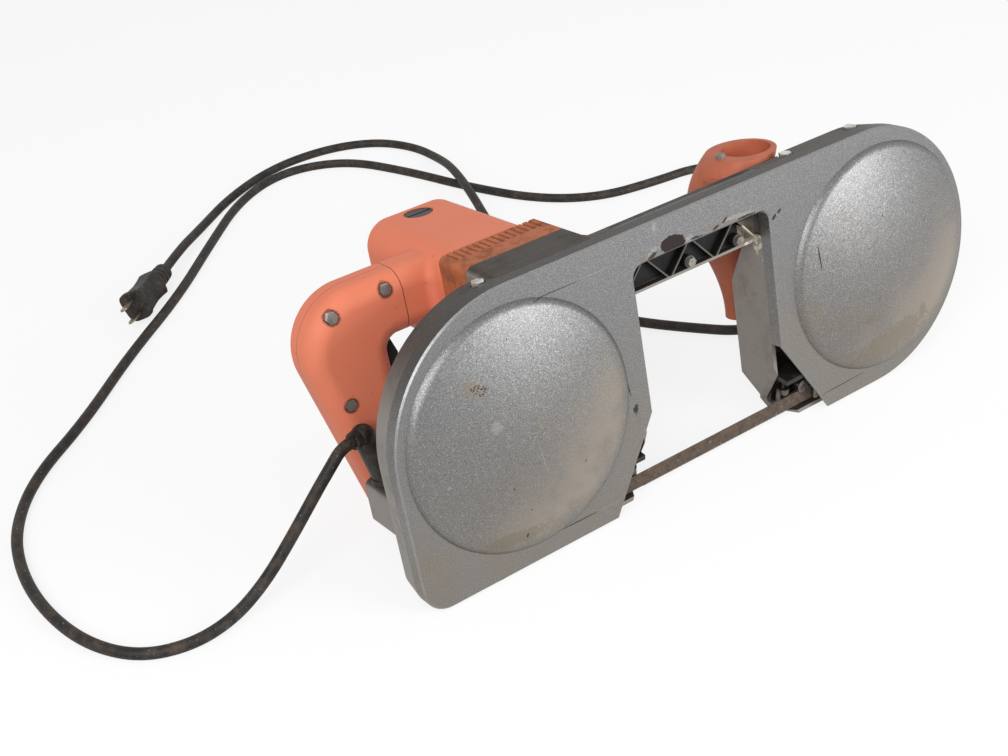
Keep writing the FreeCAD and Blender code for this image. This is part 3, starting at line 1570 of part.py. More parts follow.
def tension_gear():
    half = size.carriage_half_height
    carriage = block((carriage_left, size.carriage_front, -half), (carriage_right, carriage_back, half))
    bore = rod(size.axle_seat_radius + size.seat_gap,
               (size.wheel_distance, size.carriage_front - size.overrun, ZERO),
               size.axle_seat_end - size.carriage_front + size.overrun, "+y")
    node("tension_carriage", cut(carriage, bore))
    node("tension_spring", tube(size.tension_spring_bore, size.tension_spring_radius,
                                (spring_left, size.tension_spring_plane, ZERO), size.tension_spring_length,
                                "+x"))
    arm_front = size.pocket_depth + size.running_gap
    hub = size.lever_hub_radius
    tip = size.lever_tip_radius
    long = size.lever_length
    arm = prism(arm_front, size.lever_thickness, [
        (-hub, ZERO, hub, LEFT),
        (ZERO, hub, hub, LEFT),
        (hub, ZERO),
        (tip, -long, tip, LEFT),
        (ZERO, -long - tip, tip, LEFT),
        (-tip, -long),
    ])
    shaft = rod(size.lever_shaft_radius, (ZERO, size.cam_front, ZERO),
                arm_front - size.cam_front + size.overrun, "+y")
    cam = rod(size.cam_radius, (size.cam_offset, size.cam_front, ZERO), carriage_back - size.cam_front, "+y")
    node("tension_lever", fused(arm, shaft, cam), stand_at(lever_x, ZERO))


# Blade guides: a bracket on the inner side of each throat wall, with three rollers


roller_y = size.blade_thickness / 2 + size.running_gap + size.guide_back_roller_radius
front_roller_y = -(size.blade_thickness / 2 + size.running_gap + size.guide_front_roller_radius)
thrust_z = size.blade_width / 2 + size.running_gap + size.guide_thrust_radius
guide_back = roller_y + size.guide_back_roller_radius + size.guide_plate_gap


def ordered(sign, first, second):
    return (first, second) if sign > 0 else (-second, -first)


def blade_guide(side, first_x, sign):
    """A bent bracket with pins, and the rollers behind, in front of and above the blade."""
    stand = Placement(vector((first_x, size.cut_plane, -size.cut_height)),
                      Rotation(Vector(1, 0, 0), size.blade_lean_angle.number))
    left, right = ordered(sign, -size.guide_end, size.guide_length - size.guide_end)
    foot = -size.guide_roller_foot
    back = guide_back + size.guide_plate
    top = size.guide_top + size.guide_top_plate
    pin = size.guide_pin_radius
    front_x = sign * guide_reach
    thrust_x = sign * size.guide_pitch
    half = size.guide_thrust_width / 2
    bracket = fused(
        block((left, guide_back, foot), (right, back, top)),
        block((left, -size.guide_top_front, size.guide_top), (right, back, top)),
        rod(pin, (ZERO, roller_y, foot), size.guide_top + size.guide_roller_foot + size.overrun, "+z"),
        rod(pin, (front_x, front_roller_y, foot), size.guide_top + size.guide_roller_foot + size.overrun,
            "+z"),
        rod(pin, (thrust_x, -half, thrust_z), guide_back + half + size.overrun, "+y"),
    )
    node(f"{side}_guide_bracket", bracket, stand)
    bore = pin + size.shaft_gap
    node(f"{side}_guide_back_roller", tube(bore, size.guide_back_roller_radius, (ZERO, roller_y, foot),
                                           size.guide_roller_top + size.guide_roller_foot, "+z"), stand)
    node(f"{side}_guide_front_roller",
         tube(bore, size.guide_front_roller_radius, (front_x, front_roller_y, foot),
              size.guide_front_roller_top + size.guide_roller_foot, "+z"), stand)
    node(f"{side}_guide_thrust_roller", tube(bore, size.guide_thrust_radius, (thrust_x, -half, thrust_z),
                                             size.guide_thrust_width, "+y"), stand)


# Front handle: a moulded grip on a foot screwed to the bridge


foot_back = size.bridge_depth + size.foot_plate
well_screw_x = size.grip_top_x - size.grip_screw_back
grip_screw_length = size.foot_plate * 4


def grip_section(x, y, z, half):
    feature = doc.addObject("Part::Ellipse", "grip_section")
    place(feature, (x, y, z))
    bind(feature, "MajorRadius", half)
    bind(feature, "MinorRadius", half)
    return feature


def front_handle():
    grip = loft([
        grip_section(size.grip_top_x, size.grip_top_y, size.grip_top, size.grip_top_half),
        grip_section(size.grip_wide_x, size.grip_wide_y, size.grip_wide, size.grip_wide_half),
        grip_section(size.grip_low_x, size.grip_low_y, size.grip_low, size.grip_low_half),
        grip_section(size.grip_end_x, size.grip_end_y, -size.grip_end, size.grip_end_half),
    ], False)
    foot = block((size.foot_left, size.bridge_depth, size.bridge_edge + size.foot_margin),
                 (size.foot_right, foot_back, size.foot_top))
    neck = block((size.grip_neck_left, size.bridge_depth, size.grip_neck_foot),
                 (size.grip_neck_right, size.grip_top_y, size.grip_neck_top))
    well = rod(size.grip_top_half - size.grip_lip - size.grip_well_shift,
               (size.grip_top_x + size.grip_well_shift, size.grip_top_y, size.grip_top - size.grip_well),
               size.grip_well + size.overrun, "+z")
    screw_hole = rod(size.foot_screw_shank + size.seat_gap,
                     (well_screw_x, size.grip_top_y, size.grip_top + size.overrun),
                     grip_screw_length + size.overrun * 2, "-z")
    tools = [well, screw_hole]
    for x in boss_places:
        tools.append(rod(size.foot_screw_shank + size.seat_gap, (x, boss_front, bridge_boss_height),
                         size.rim_depth, "+y"))
    return node("front_handle", cut(fused(grip, foot, neck), *tools))


def front_handle_screws():
    pieces = []
    for x in boss_places:
        head_front = boss_front - size.foot_screw_height
        pieces.append(fused(
            hexagon(size.foot_screw_head, (x, head_front, bridge_boss_height), size.foot_screw_height, "+y"),
            rod(size.foot_screw_shank, (x, head_front, bridge_boss_height), foot_back - head_front, "+y"),
        ))
    pieces.append(fused(
        hexagon(size.grip_screw_head, (well_screw_x, size.grip_top_y, size.grip_top), size.grip_screw_height,
                "+z"),
        rod(size.foot_screw_shank,
            (well_screw_x, size.grip_top_y, size.grip_top + size.grip_screw_height / 2),
            grip_screw_length + size.grip_screw_height / 2, "-z"),
    ))
    return node("front_handle_screws", group(*pieces))


# Cord boot: a rubber sleeve that stands on the lug and bends over to the cord


def aimed(feature, start, end):
    """Stands a primitive at one point with its own Z towards another."""
    feature.Placement = Placement(start, Rotation(Vector(0, 0, 1), end - start))
    return feature


def cone(start, end, start_radius, end_radius):
    feature = doc.addObject("Part::Cone", "cone")
    bind(feature, "Radius1", start_radius)
    bind(feature, "Radius2", end_radius)
    feature.Height = (end - start).Length
    return aimed(feature, start, end)


def ball(radius, centre):
    feature = doc.addObject("Part::Sphere", "ball")
    bind(feature, "Radius", radius)
    feature.Placement = Placement(centre, Rotation())
    return feature


front_cover()
frame_casting()
rim_screws()
gear_case()
gear_plate()
bearing_plate()
drive_line()
gear_train()
layshaft_bushes()
wheel("drive_wheel", size.drive_shaft_radius + size.seat_gap, ZERO)
wheel("idler_wheel", size.idler_bearing_radius + size.seat_gap, size.wheel_distance)
idler_axle()
blade()
motor_housing()
motor_inside()
brush_gear()
handle_half("handle_front_half", handle_front, handle_front)
handle_half("handle_rear_half", size.handle_plane, handle_rear)
handle_screws()
trigger_and_switch()
tension_gear()
blade_guide("rear", rear_guide_x, -1)
blade_guide("front", front_guide_x, 1)
front_handle()
front_handle_screws()
doc.recompute()

# Stance: leaned back onto the frame's drafted underside, with the footprint's middle at the origin


def stance():
    """The placement that leans the saw back and sets it down."""
    tilt = Placement(Vector(), Rotation(Vector(1, 0, 0), -lean))
    box = FreeCAD.BoundBox()
    for label, feature, stand in nodes:
        shape = feature.Shape.copy()
        shape.Placement = tilt * stand
        box.add(shape.optimalBoundingBox(False))
    middle = box.Center
    return Placement(Vector(-middle.x, -middle.y, -box.ZMin), Rotation()) * tilt


saw_stance = stance()


# Cord and plug: drawn where they lie on the floor, in the finished frame

CORD_ROUTE = [
    (-248.8, -14.1, 88.4),
    (-259.0, -17.7, 90.0),
    (-268.0, -18.5, 81.5),
    (-283.0, -19.0, 66.0),
    (-306.0, -22.0, 43.5),
    (-332.0, -25.0, 20.0),
    (-360.0, -29.0, 6.5),
    (-392.0, -31.0, 4.2),
    (-424.0, -18.0, 4.2),
    (-446.0, 16.0, 4.2),
    (-456.0, 63.0, 4.2),
    (-455.0, 112.0, 4.2),
    (-442.0, 161.0, 4.2),
    (-409.0, 210.0, 4.2),
    (-352.0, 255.0, 4.2),
    (-285.0, 322.0, 4.2),
    (-212.0, 384.0, 4.2),
    (-146.0, 454.0, 4.2),
    (-84.0, 517.0, 4.2),
    (-20.0, 546.0, 4.2),
    (43.0, 523.0, 4.2),
    (78.0, 455.0, 4.2),
    (104.0, 384.0, 4.2),
    (139.0, 316.0, 4.2),
    (186.0, 277.0, 4.2),
    (246.0, 266.0, 4.2),
    (298.0, 262.0, 4.2),
    (334.0, 230.0, 4.2),
    (338.0, 184.0, 4.2),
    (306.0, 138.0, 4.2),
    (258.0, 99.0, 4.2),
    (218.0, 58.0, 4.2),
    (186.0, 20.0, 4.2),
    (156.0, 4.0, 4.2),
    (124.0, 11.0, 4.2),
    (98.0, 41.0, 4.2),
    (71.0, 76.0, 4.2),
    (46.0, 122.0, 4.2),
    (40.0, 182.0, 4.2),
    (56.0, 248.0, 4.2),
    (76.0, 308.0, 5.0),
    (91.0, 362.0, 14.5),
    (105.0, 412.0, 14.5),
    (117.0, 456.0, 5.0),
    (114.0, 500.0, 4.2),
    (90.0, 540.0, 4.2),
    (42.0, 562.0, 4.2),
    (-22.0, 561.0, 4.2),
    (-86.0, 532.0, 4.2),
    (-142.0, 487.0, 5.0),
    (-178.5, 449.1, 13.0),
    (-207.0, 421.0, 13.0),
]
BEND_SHARE = 0.45
PLUG_TURN = 134.6
route = [Vector(*point) for point in CORD_ROUTE]


def cord_boot():
    """A collar on the lug, a stem, and a round head with a short sleeve towards the cord."""
    base = vector((-size.boot_foot_x, size.boot_foot_y, size.boot_collar - size.lug_top))
    head = vector((-size.boot_tip_x, size.boot_tip_y, size.boot_tip_z))
    into_saw = saw_stance.inverse()
    exit_point = into_saw.multVec(route[0])
    onward = (into_saw.multVec(route[1]) - exit_point).normalize()
    sleeve_start = exit_point - onward * (exit_point - head).Length
    collar = rod(size.boot_collar_radius, (-size.boot_foot_x, size.boot_foot_y, -size.lug_top),
                 size.boot_collar, "+z")
    stem = cone(base, head, size.boot_base_radius, size.boot_tip_radius)
    sleeve = cone(sleeve_start, exit_point, size.boot_tip_radius, size.boot_sleeve_radius)
    return node("cord_boot", fused(collar, stem, ball(size.boot_head_radius, head), sleeve))


def cord():
    """A round cord along straight runs joined by arcs as large as the runs allow."""
    edges = []
    here = route[0]
    bends = []
    for before, point, after in zip(route, route[1:], route[2:]):
        inward = point - before
        onward = after - point
        reach = BEND_SHARE * min(inward.Length, onward.Length)
        half_turn = inward.getAngle(onward) / 2
        bend = reach / math.tan(half_turn)
        start = point - inward.normalize() * reach
        end = point + onward.normalize() * reach
        across = (onward - inward).normalize()
        middle = point + across * (bend / math.cos(half_turn) - bend)
        edges.append(Part.LineSegment(here, start).toShape())
        edges.append(Part.Arc(start, middle, end).toShape())
        bends.append(bend)
        here = end
    edges.append(Part.LineSegment(here, route[-1]).toShape())
    path = Part.Wire(edges)
    radius = size.cord_diameter.number / 2
    ring_wire = Part.Wire(Part.makeCircle(radius, route[0], route[1] - route[0]))
    feature = doc.addObject("Part::Feature", "cord")
    feature.Shape = path.makePipeShell([ring_wire], True, False)
    plain = math.pi * radius * radius * path.Length
    print("cord length", round(path.Length), "volume share", round(feature.Shape.Volume / plain, 4))
    print("cord bends", [round(bend) for bend in bends])
    return node("cord", feature, saw_stance.inverse())


def wedge(front, back, near_width, near_height, far_width, far_height):
    """A block along Y that widens from its near to its far end."""
    feature = doc.addObject("Part::Wedge", "wedge")
    values = {
        "Ymin": front, "Ymax": back,
        "Xmin": -near_width / 2, "Xmax": near_width / 2, "Zmin": -near_height / 2, "Zmax": near_height / 2,
        "X2min": -far_width / 2, "X2max": far_width / 2, "Z2min": -far_height / 2, "Z2max": far_height / 2,
    }
    for prop, value in values.items():
        bind(feature, prop, value)
    return feature


def plug():
    lying = saw_stance.inverse() * Placement(route[-1], Rotation(Vector(0, 0, 1), PLUG_TURN))
    relief = rod(size.plug_relief_radius, (ZERO, ZERO, ZERO), size.plug_relief, "+y")
    lip_front = size.plug_relief + size.plug_length
    end = lip_front + size.plug_lip
    half_width = size.plug_width / 2
    half_height = size.plug_height / 2
    waist = size.plug_lip
    body = wedge(size.plug_relief - size.overrun, lip_front, size.plug_width - waist * 2,
                 size.plug_height - waist * 2,
                 size.plug_width - waist, size.plug_height - waist)
    lip = block((-half_width, lip_front, -half_height), (half_width, end, half_height))
    node("plug_body", fused(relief, body, lip), lying)
    prongs = []
    for side in (-1, 1):
        middle = side * size.prong_pitch / 2
        thick = size.prong_thickness / 2
        blade_piece = block((middle - thick, end, -size.prong_width / 2),
                            (middle + thick, end + size.prong_length, size.prong_width / 2))
        hole = rod(size.prong_hole_radius, (middle - size.overrun, end + size.prong_hole_place, ZERO),
                   size.overrun * 2, "+x")
        prongs.append(cut(blade_piece, hole))
    node("plug_prongs", group(*prongs), lying)


cord_boot()
cord()
plug()
doc.recompute()
for label, feature, stand in nodes:
    feature.Placement = saw_stance * stand

for feature in doc.Objects:
    if "Invalid" in feature.State or "Error" in feature.State:
        raise RuntimeError(f"{feature.Label} did not compute")
for label, feature, stand in nodes:
    if feature.Shape.isNull() or not feature.Shape.isValid():
        raise RuntimeError(f"{label} has no valid shape")
os.makedirs("parts", exist_ok=True)
for label, feature, stand in nodes:
    feature.Shape.exportStep(f"parts/{label}.step")
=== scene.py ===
import json
import math

import bmesh
import bpy
from mathutils import Matrix, Vector


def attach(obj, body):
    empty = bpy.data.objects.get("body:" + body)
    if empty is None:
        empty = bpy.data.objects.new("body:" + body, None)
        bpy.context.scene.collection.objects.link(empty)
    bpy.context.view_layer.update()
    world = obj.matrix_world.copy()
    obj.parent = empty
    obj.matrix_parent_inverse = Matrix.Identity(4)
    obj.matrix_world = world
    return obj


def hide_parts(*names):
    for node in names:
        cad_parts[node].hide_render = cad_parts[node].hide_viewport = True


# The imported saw
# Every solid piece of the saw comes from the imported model, already in its place.
# The saw leans back on its lower edge, so its own axes follow its drive wheel's shaft.
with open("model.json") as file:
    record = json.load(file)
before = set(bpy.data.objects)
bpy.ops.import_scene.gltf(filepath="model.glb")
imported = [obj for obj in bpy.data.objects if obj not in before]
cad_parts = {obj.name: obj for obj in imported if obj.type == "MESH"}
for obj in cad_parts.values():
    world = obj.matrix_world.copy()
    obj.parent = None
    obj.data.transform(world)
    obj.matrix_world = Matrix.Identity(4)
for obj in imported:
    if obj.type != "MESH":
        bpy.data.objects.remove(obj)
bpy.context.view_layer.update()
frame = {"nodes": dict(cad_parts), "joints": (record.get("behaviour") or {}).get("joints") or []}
nodes = frame["nodes"]
joints = {joint["name"]: joint for joint in frame["joints"]}
WHEEL_PLANE = 0.0115
across = Vector((1, 0, 0))
back = Vector(joints["drive_spin"]["axis"])
up = across.cross(back)
lean = math.atan2(up.y, up.z)
cover_middle = Vector(joints["drive_spin"]["pos_m"]) - back * WHEEL_PLANE

# Frame casting and gear case
# The saw's back is a light-alloy casting under grey paint, browned by cutting dust.
# The gear case is bolted behind its left end, with a flat plate between case and motor.
MM = 0.001
FRAME_GREY = (0.25, 0.228, 0.208, 1)
FRAME_SPECK = (0.3, 0.28, 0.26, 1)
FRAME_DUST = (0.13, 0.108, 0.085, 1)
FRAME_TOP = (0.045, 0.036, 0.029, 1)
FRAME_RUBBED = (0.24, 0.225, 0.2, 1)
RUB_STRETCH = (0.06, 1, 1)
# Places on the saw are in millimetres: along from the drive wheel, back from the cover, and up
RECESS_SHADE_BLACK = (0.012, 0.011, 0.011, 1)
RECESS_ALONG = (103.5, 227.5)
RECESS_FLOOR = 50.0
RIB_FRONT_SHADE = (0.11, 0.102, 0.09, 1)
RIB_EDGE_BACK = 14.8
CORROSION = (0.6, 0.55, 0.44, 1)
CRUST_ALONG = (213, 228)
CRUST_UP = (30, 64)
CRUST_BACK = 20.0
CASTING_EDGE = 0.0009
CORNER_JOIN = 0.00001
EDGE_STEPS = 2
EDGE_ANGLE = math.radians(28)
FLAT_FACE_WEIGHT = 80
# The sockets of a colour mix, which share their names with those for plain numbers
MIX_UNDER = 6
MIX_OVER = 7
MIX_RESULT = 2


def feed(tree, socket, value):
    """Joins another node's output to a socket, or sets a plain number or colour on it."""
    if isinstance(value, bpy.types.NodeSocket):
        tree.links.new(value, socket)
    else:
        socket.default_value = value


def add(tree, kind, inputs=None, **fields):
    """Adds one shader node, sets its fields, and feeds its inputs."""
    made = tree.nodes.new("ShaderNode" + kind)
    for field, value in fields.items():
        setattr(made, field, value)
    for name, value in (inputs or {}).items():
        feed(tree, made.inputs[name], value)
    return made


def new_finish(name):
    """An empty finish: its node tree, its surface shader, and the saw's own coordinates."""
    finish = bpy.data.materials.new(name)
    finish.use_nodes = True
    tree = finish.node_tree
    place = add(tree, "TexCoord").outputs["Object"]
    saw = add(tree, "Mapping", {"Vector": place, "Location": cover_middle, "Rotation": (-lean, 0, 0)},
              vector_type="TEXTURE")
    return finish, tree, tree.nodes["Principled BSDF"], saw.outputs["Vector"]


def cloud(tree, place, scale, detail=3.0, roughness=0.55):
    """Soft irregular noise from 0 to 1, with scale lumps to the metre."""
    noise = add(tree, "TexNoise", {"Vector": place, "Scale": scale, "Detail": detail, "Roughness": roughness})
    return noise.outputs["Fac"]


def rise(tree, value, low, high):
    """A smooth step that is 0 below low and 1 above high."""
    return add(tree, "MapRange", {"Value": value, "From Min": low, "From Max": high},
               interpolation_type="SMOOTHSTEP").outputs["Result"]


def spread(tree, value, low, high, start, end):
    """A straight change of value from one range to another, held at both ends."""
    ranges = {"Value": value, "From Min": low, "From Max": high, "To Min": start, "To Max": end}
    return add(tree, "MapRange", ranges).outputs["Result"]


def reckon(tree, operation, first, second):
    """Two numbers combined by one operation."""
    return add(tree, "Math", {0: first, 1: second}, operation=operation).outputs["Value"]


def both(tree, first, second):
    """A share where two shares hold together, or a share cut down to a part of itself."""
    return reckon(tree, "MULTIPLY", first, second)


def above(tree, value, level, soft):
    """A share that is 1 above a level, in millimetres, and fades out over soft each side of it."""
    return rise(tree, value, (level - soft) * MM, (level + soft) * MM)


def below(tree, value, level, soft):
    """A share that is 1 below a level, in millimetres, and fades out over soft each side of it."""
    return rise(tree, value, (level + soft) * MM, (level - soft) * MM)


def within(tree, value, low, high, soft):
    """A share that is 1 from low to high, in millimetres, and fades out over soft."""
    return both(tree, above(tree, value, low, soft), below(tree, value, high, soft))


def paint(tree, share, under, over):
    """One colour laid over another, as much as share says."""
    mix = add(tree, "Mix", {"Factor": share, MIX_UNDER: under, MIX_OVER: over}, data_type="RGBA")
    return mix.outputs[MIX_RESULT]


def pitted(tree, place, scale, detail, strength, depth):
    """A fine relief of the surface from noise, its depth in metres."""
    height = cloud(tree, place, scale, detail)
    return add(tree, "Bump", {"Height": height, "Strength": strength, "Distance": depth}).outputs["Normal"]


def parts_of(tree, place):
    """The three coordinates of a place."""
    return add(tree, "SeparateXYZ", {"Vector": place}).outputs


def facing(tree, way):
    """How far the surface faces a way, from -1 to 1."""
    normal = add(tree, "NewGeometry").outputs["Normal"]
    return add(tree, "VectorMath", {0: normal, 1: tuple(way)}, operation="DOT_PRODUCT").outputs["Value"]


def join(tree, shader, **sockets):
    """Feeds the surface shader's inputs, named with _ for each space."""
    for name, value in sockets.items():
        feed(tree, shader.inputs[name.replace("_", " ")], value)


def wear_the(finish, *names):
    """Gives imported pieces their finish."""
    for name in names:
        piece = nodes[name]
        piece.data.materials.clear()
        piece.data.materials.append(finish)


def soften(width, *names):
    """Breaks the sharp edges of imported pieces, as casting and handling do, and shades them evenly."""
    for name in names:
        piece = nodes[name]
        weld = piece.modifiers.new("joined_corners", "WELD")
        weld.merge_threshold = CORNER_JOIN
        edge = piece.modifiers.new("broken_edges", "BEVEL")
        edge.width = width
        edge.segments = EDGE_STEPS
        edge.limit_method = "ANGLE"
        edge.angle_limit = EDGE_ANGLE
        edge.harden_normals = True
        shade = piece.modifiers.new("even_shading", "WEIGHTED_NORMAL")
        shade.mode = "FACE_AREA_WITH_ANGLE"
        shade.weight = FLAT_FACE_WEIGHT
        for polygon in piece.data.polygons:
            polygon.use_smooth = True


def grey_casting():
    """Dusty grey paint, dark on upward faces, with painted shade in the bridge's recess and crusted at its
    right end.
    """
    finish, tree, shader, saw = new_finish("grey_cast_paint")
    x, y, z = parts_of(tree, saw)
    flake = rise(tree, cloud(tree, saw, 1100, 1), 0.5, 0.72)
    dust = rise(tree, cloud(tree, saw, 45, 6, 0.7), 0.45, 0.8)
    colour = paint(tree, both(tree, flake, 0.6), FRAME_GREY, FRAME_SPECK)
    colour = paint(tree, both(tree, dust, 0.45), colour, FRAME_DUST)
    stretched = add(tree, "Mapping", {"Vector": saw, "Scale": RUB_STRETCH}).outputs["Vector"]
    rubbed = rise(tree, cloud(tree, stretched, 420, 4, 0.6), 0.56, 0.75)
    top = paint(tree, both(tree, rubbed, 0.3), FRAME_TOP, FRAME_RUBBED)
    upward = rise(tree, facing(tree, up), 0.3, 0.85)
    colour = paint(tree, upward, colour, top)
    # Painted shade in the bridge's recess: black deep in, dark grey on the fronts of its ribs
    hollow = both(tree, within(tree, x, *RECESS_ALONG, 0.3), above(tree, z, RECESS_FLOOR, 0.5))
    inner = paint(tree, above(tree, y, RIB_EDGE_BACK, 0.4), RIB_FRONT_SHADE, RECESS_SHADE_BLACK)
    colour = paint(tree, hollow, colour, inner)
    crust = both(tree, within(tree, x, *CRUST_ALONG, 0.6), within(tree, z, *CRUST_UP, 1.5))
    thicker = spread(tree, z, 30 * MM, 60 * MM, -0.2, 0.12)
    lumps = reckon(tree, "ADD", cloud(tree, saw, 260, 4, 0.7), thicker)
    crust = both(tree, crust, rise(tree, lumps, 0.4, 0.5))
    crust = both(tree, crust, below(tree, y, CRUST_BACK, 0.5))
    colour = paint(tree, crust, colour, CORROSION)
    join(tree, shader, Base_Color=colour, Specular_IOR_Level=0.25,
         Metallic=spread(tree, upward, 0, 1, 0.3, 0.0), Roughness=spread(tree, dust, 0, 1, 0.5, 0.75),
         Normal=pitted(tree, saw, 900, 2, 0.2, 0.0003))
    return finish


wear_the(grey_casting(), "frame", "gear_case", "gear_plate")
soften(CASTING_EDGE, "frame", "gear_case", "gear_plate")

# Gears, shafts, bearings and wheels
# The drive wheel hangs on a geared shaft, and the front wheel turns on a plain axle.
# Gears and shafts are oiled steel, the wheels cast alloy with rubber tyres.
PALE_SPECK = (0.3, 0.27, 0.23, 1)


def worn_metal(name, bright, dull, roughness, metallic=0.95):
    """Bare metal with dull, rougher stains."""
    finish, tree, shader, saw = new_finish(name)
    stain = rise(tree, cloud(tree, saw, 120, 5, 0.65), 0.4, 0.68)
    join(tree, shader, Base_Color=paint(tree, stain, bright, dull), Metallic=metallic,
         Roughness=spread(tree, stain, 0, 1, roughness, roughness + 0.25),
         Normal=pitted(tree, saw, 1400, 2, 0.12, 0.0003))
    return finish


def dusty_black(name, black, dust, roughness, dust_low=0.5, dust_high=0.8, specks=0.0):
    """Black rubber, plastic or steel under patches of dust, with pale specks where asked."""
    finish, tree, shader, saw = new_finish(name)
    grime = rise(tree, cloud(tree, saw, 95, 6, 0.7), dust_low, dust_high)
    speck = both(tree, rise(tree, cloud(tree, saw, 520, 2), 0.66, 0.74), specks)
    colour = paint(tree, speck, paint(tree, grime, black, dust), PALE_SPECK)
    join(tree, shader, Base_Color=colour, Specular_IOR_Level=0.3,
         Roughness=spread(tree, grime, 0, 1, roughness, roughness + 0.3),
         Normal=pitted(tree, saw, 700, 3, 0.2, 0.0004))
    return finish


ground_steel = worn_metal("ground_steel", (0.5, 0.49, 0.47, 1), (0.22, 0.19, 0.15, 1), 0.3)
bright_steel = worn_metal("bright_steel", (0.72, 0.71, 0.69, 1), (0.42, 0.39, 0.34, 1), 0.26, metallic=0.9)
wheel_alloy = worn_metal("wheel_alloy", (0.55, 0.55, 0.54, 1), (0.3, 0.28, 0.25, 1), 0.38)
bronze = worn_metal("bronze", (0.55, 0.38, 0.17, 1), (0.25, 0.16, 0.08, 1), 0.35)
tyre_rubber = dusty_black("tyre_rubber", (0.02, 0.018, 0.016, 1), (0.09, 0.075, 0.06, 1), 0.6)
wear_the(ground_steel, "drive_shaft", "output_gear", "second_shaft", "second_gear", "first_shaft",
         "first_gear", "idler_axle", "tension_carriage", "armature_shaft", "armature_core", "stator")
wear_the(bright_steel, "drive_bearing_front", "drive_bearing_rear", "idler_bearing", "motor_bearing_front",
         "motor_bearing_rear", "drive_nut", "tension_spring", "trigger_spring")
wear_the(wheel_alloy, "drive_wheel", "idler_wheel", "bearing_plate")
wear_the(bronze, "layshaft_bushes")
wear_the(tyre_rubber, "drive_tyre", "idler_tyre")

# Tension lever and blade guides
# The lever behind the front wheel and the two guide brackets are blackened steel.
# Each guide carries three hard steel rollers, darkly stained.
BRACKET_EDGE = 0.0006
stained_steel = worn_metal("stained_steel", (0.15, 0.135, 0.115, 1), (0.035, 0.028, 0.022, 1), 0.24)
black_steel = dusty_black("black_steel", (0.012, 0.011, 0.01, 1), (0.05, 0.04, 0.03, 1), 0.36)
wear_the(black_steel, "tension_lever", "rear_guide_bracket", "front_guide_bracket")
soften(BRACKET_EDGE, "tension_lever", "rear_guide_bracket", "front_guide_bracket")
for side in ("rear", "front"):
    for kind in ("back", "front", "thrust"):
        wear_the(stained_steel, f"{side}_guide_{kind}_roller")

# Blade
# The band is one welded loop of toothed spring steel, stained brown all over.
# It runs over both wheels and is twisted a quarter turn between the guides.
BAND_BROWN = (0.098, 0.07, 0.051, 1)
BAND_DARK = (0.048, 0.033, 0.025, 1)
BAND_GRAIN = (0.19, 0.14, 0.105, 1)
BAND_GLINT = (0.75, 0.72, 0.68, 1)


def band_steel():
    """Brown stained steel with a fine grain, and a few bright specks that are painted glints."""
    finish, tree, shader, saw = new_finish("stained_band_steel")
    grain = cloud(tree, saw, 1500, 3, 0.7)
    stain = rise(tree, cloud(tree, saw, 240, 4, 0.6), 0.35, 0.7)
    colour = paint(tree, stain, BAND_BROWN, BAND_DARK)
    colour = paint(tree, rise(tree, grain, 0.45, 0.75), colour, BAND_GRAIN)
    # Painted highlight: near-white specks stand in for glints on the steel
    colour = paint(tree, rise(tree, cloud(tree, saw, 650, 1), 0.74, 0.79), colour, BAND_GLINT)
    join(tree, shader, Base_Color=colour, Metallic=0.15, Roughness=0.6, Specular_IOR_Level=0.3)
    return finish


band_finish = band_steel()
wear_the(band_finish, "blade")

# Blade teeth
# Fine saw teeth are milled along the band's lower edge, all raked the same way.
# They are set left, straight and right in turn, and show where the band crosses the throat.
TOOTH_PITCH = 1.41
TOOTH_HEIGHT = 0.9
TOOTH_ROOT = 0.2
TOOTH_RAKE = 0.85
TOOTH_SET = 0.1
TEETH_FROM = 96.0
TEETH_TO = 236.0
BAND_EDGE_BACK = 13.32
BAND_EDGE_UP = -94.21
BAND_THICKNESS = 0.6
BAND_LEAN = math.radians(12)


def tooth_corner(along, deep, aside):
    """A place on a tooth: along the saw, below the band's edge, and aside of the band's middle."""
    away = BAND_EDGE_BACK + math.sin(BAND_LEAN) * deep + math.cos(BAND_LEAN) * aside
    high = BAND_EDGE_UP - math.cos(BAND_LEAN) * deep + math.sin(BAND_LEAN) * aside
    return cover_middle + across * (along * MM) + back * (away * MM) + up * (high * MM)


def blade_teeth():
    """A row of three-cornered teeth, each one closed and rooted in the band."""
    form = bmesh.new()
    for number in range(int((TEETH_TO - TEETH_FROM) / TOOTH_PITCH)):
        start = TEETH_FROM + number * TOOTH_PITCH
        bent = TOOTH_SET * (number % 3 - 1)
        sides = []
        for aside in (-BAND_THICKNESS / 2, BAND_THICKNESS / 2):
            corners = [tooth_corner(start, -TOOTH_ROOT, aside),
                       tooth_corner(start + TOOTH_PITCH, -TOOTH_ROOT, aside),
                       tooth_corner(start + TOOTH_RAKE * TOOTH_PITCH, TOOTH_HEIGHT, aside + bent)]
            sides.append([form.verts.new(corner) for corner in corners])
        near, far = sides
        form.faces.new(near)
        form.faces.new(far[::-1])
        for first, second in ((0, 1), (1, 2), (2, 0)):
            form.faces.new((near[second], near[first], far[first], far[second]))
    bmesh.ops.recalc_face_normals(form, faces=form.faces)
    mesh = bpy.data.meshes.new("blade_teeth")
    form.to_mesh(mesh)
    form.free()
    return mesh


def put_in_scene(name, data):
    """A new object in the scene that carries a mesh, a curve, a lamp or a camera."""
    made = bpy.data.objects.new(name, data)
    bpy.context.scene.collection.objects.link(made)
    return made


teeth = put_in_scene("blade_teeth", blade_teeth())
teeth.data.materials.append(band_finish)
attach(teeth, "saw")

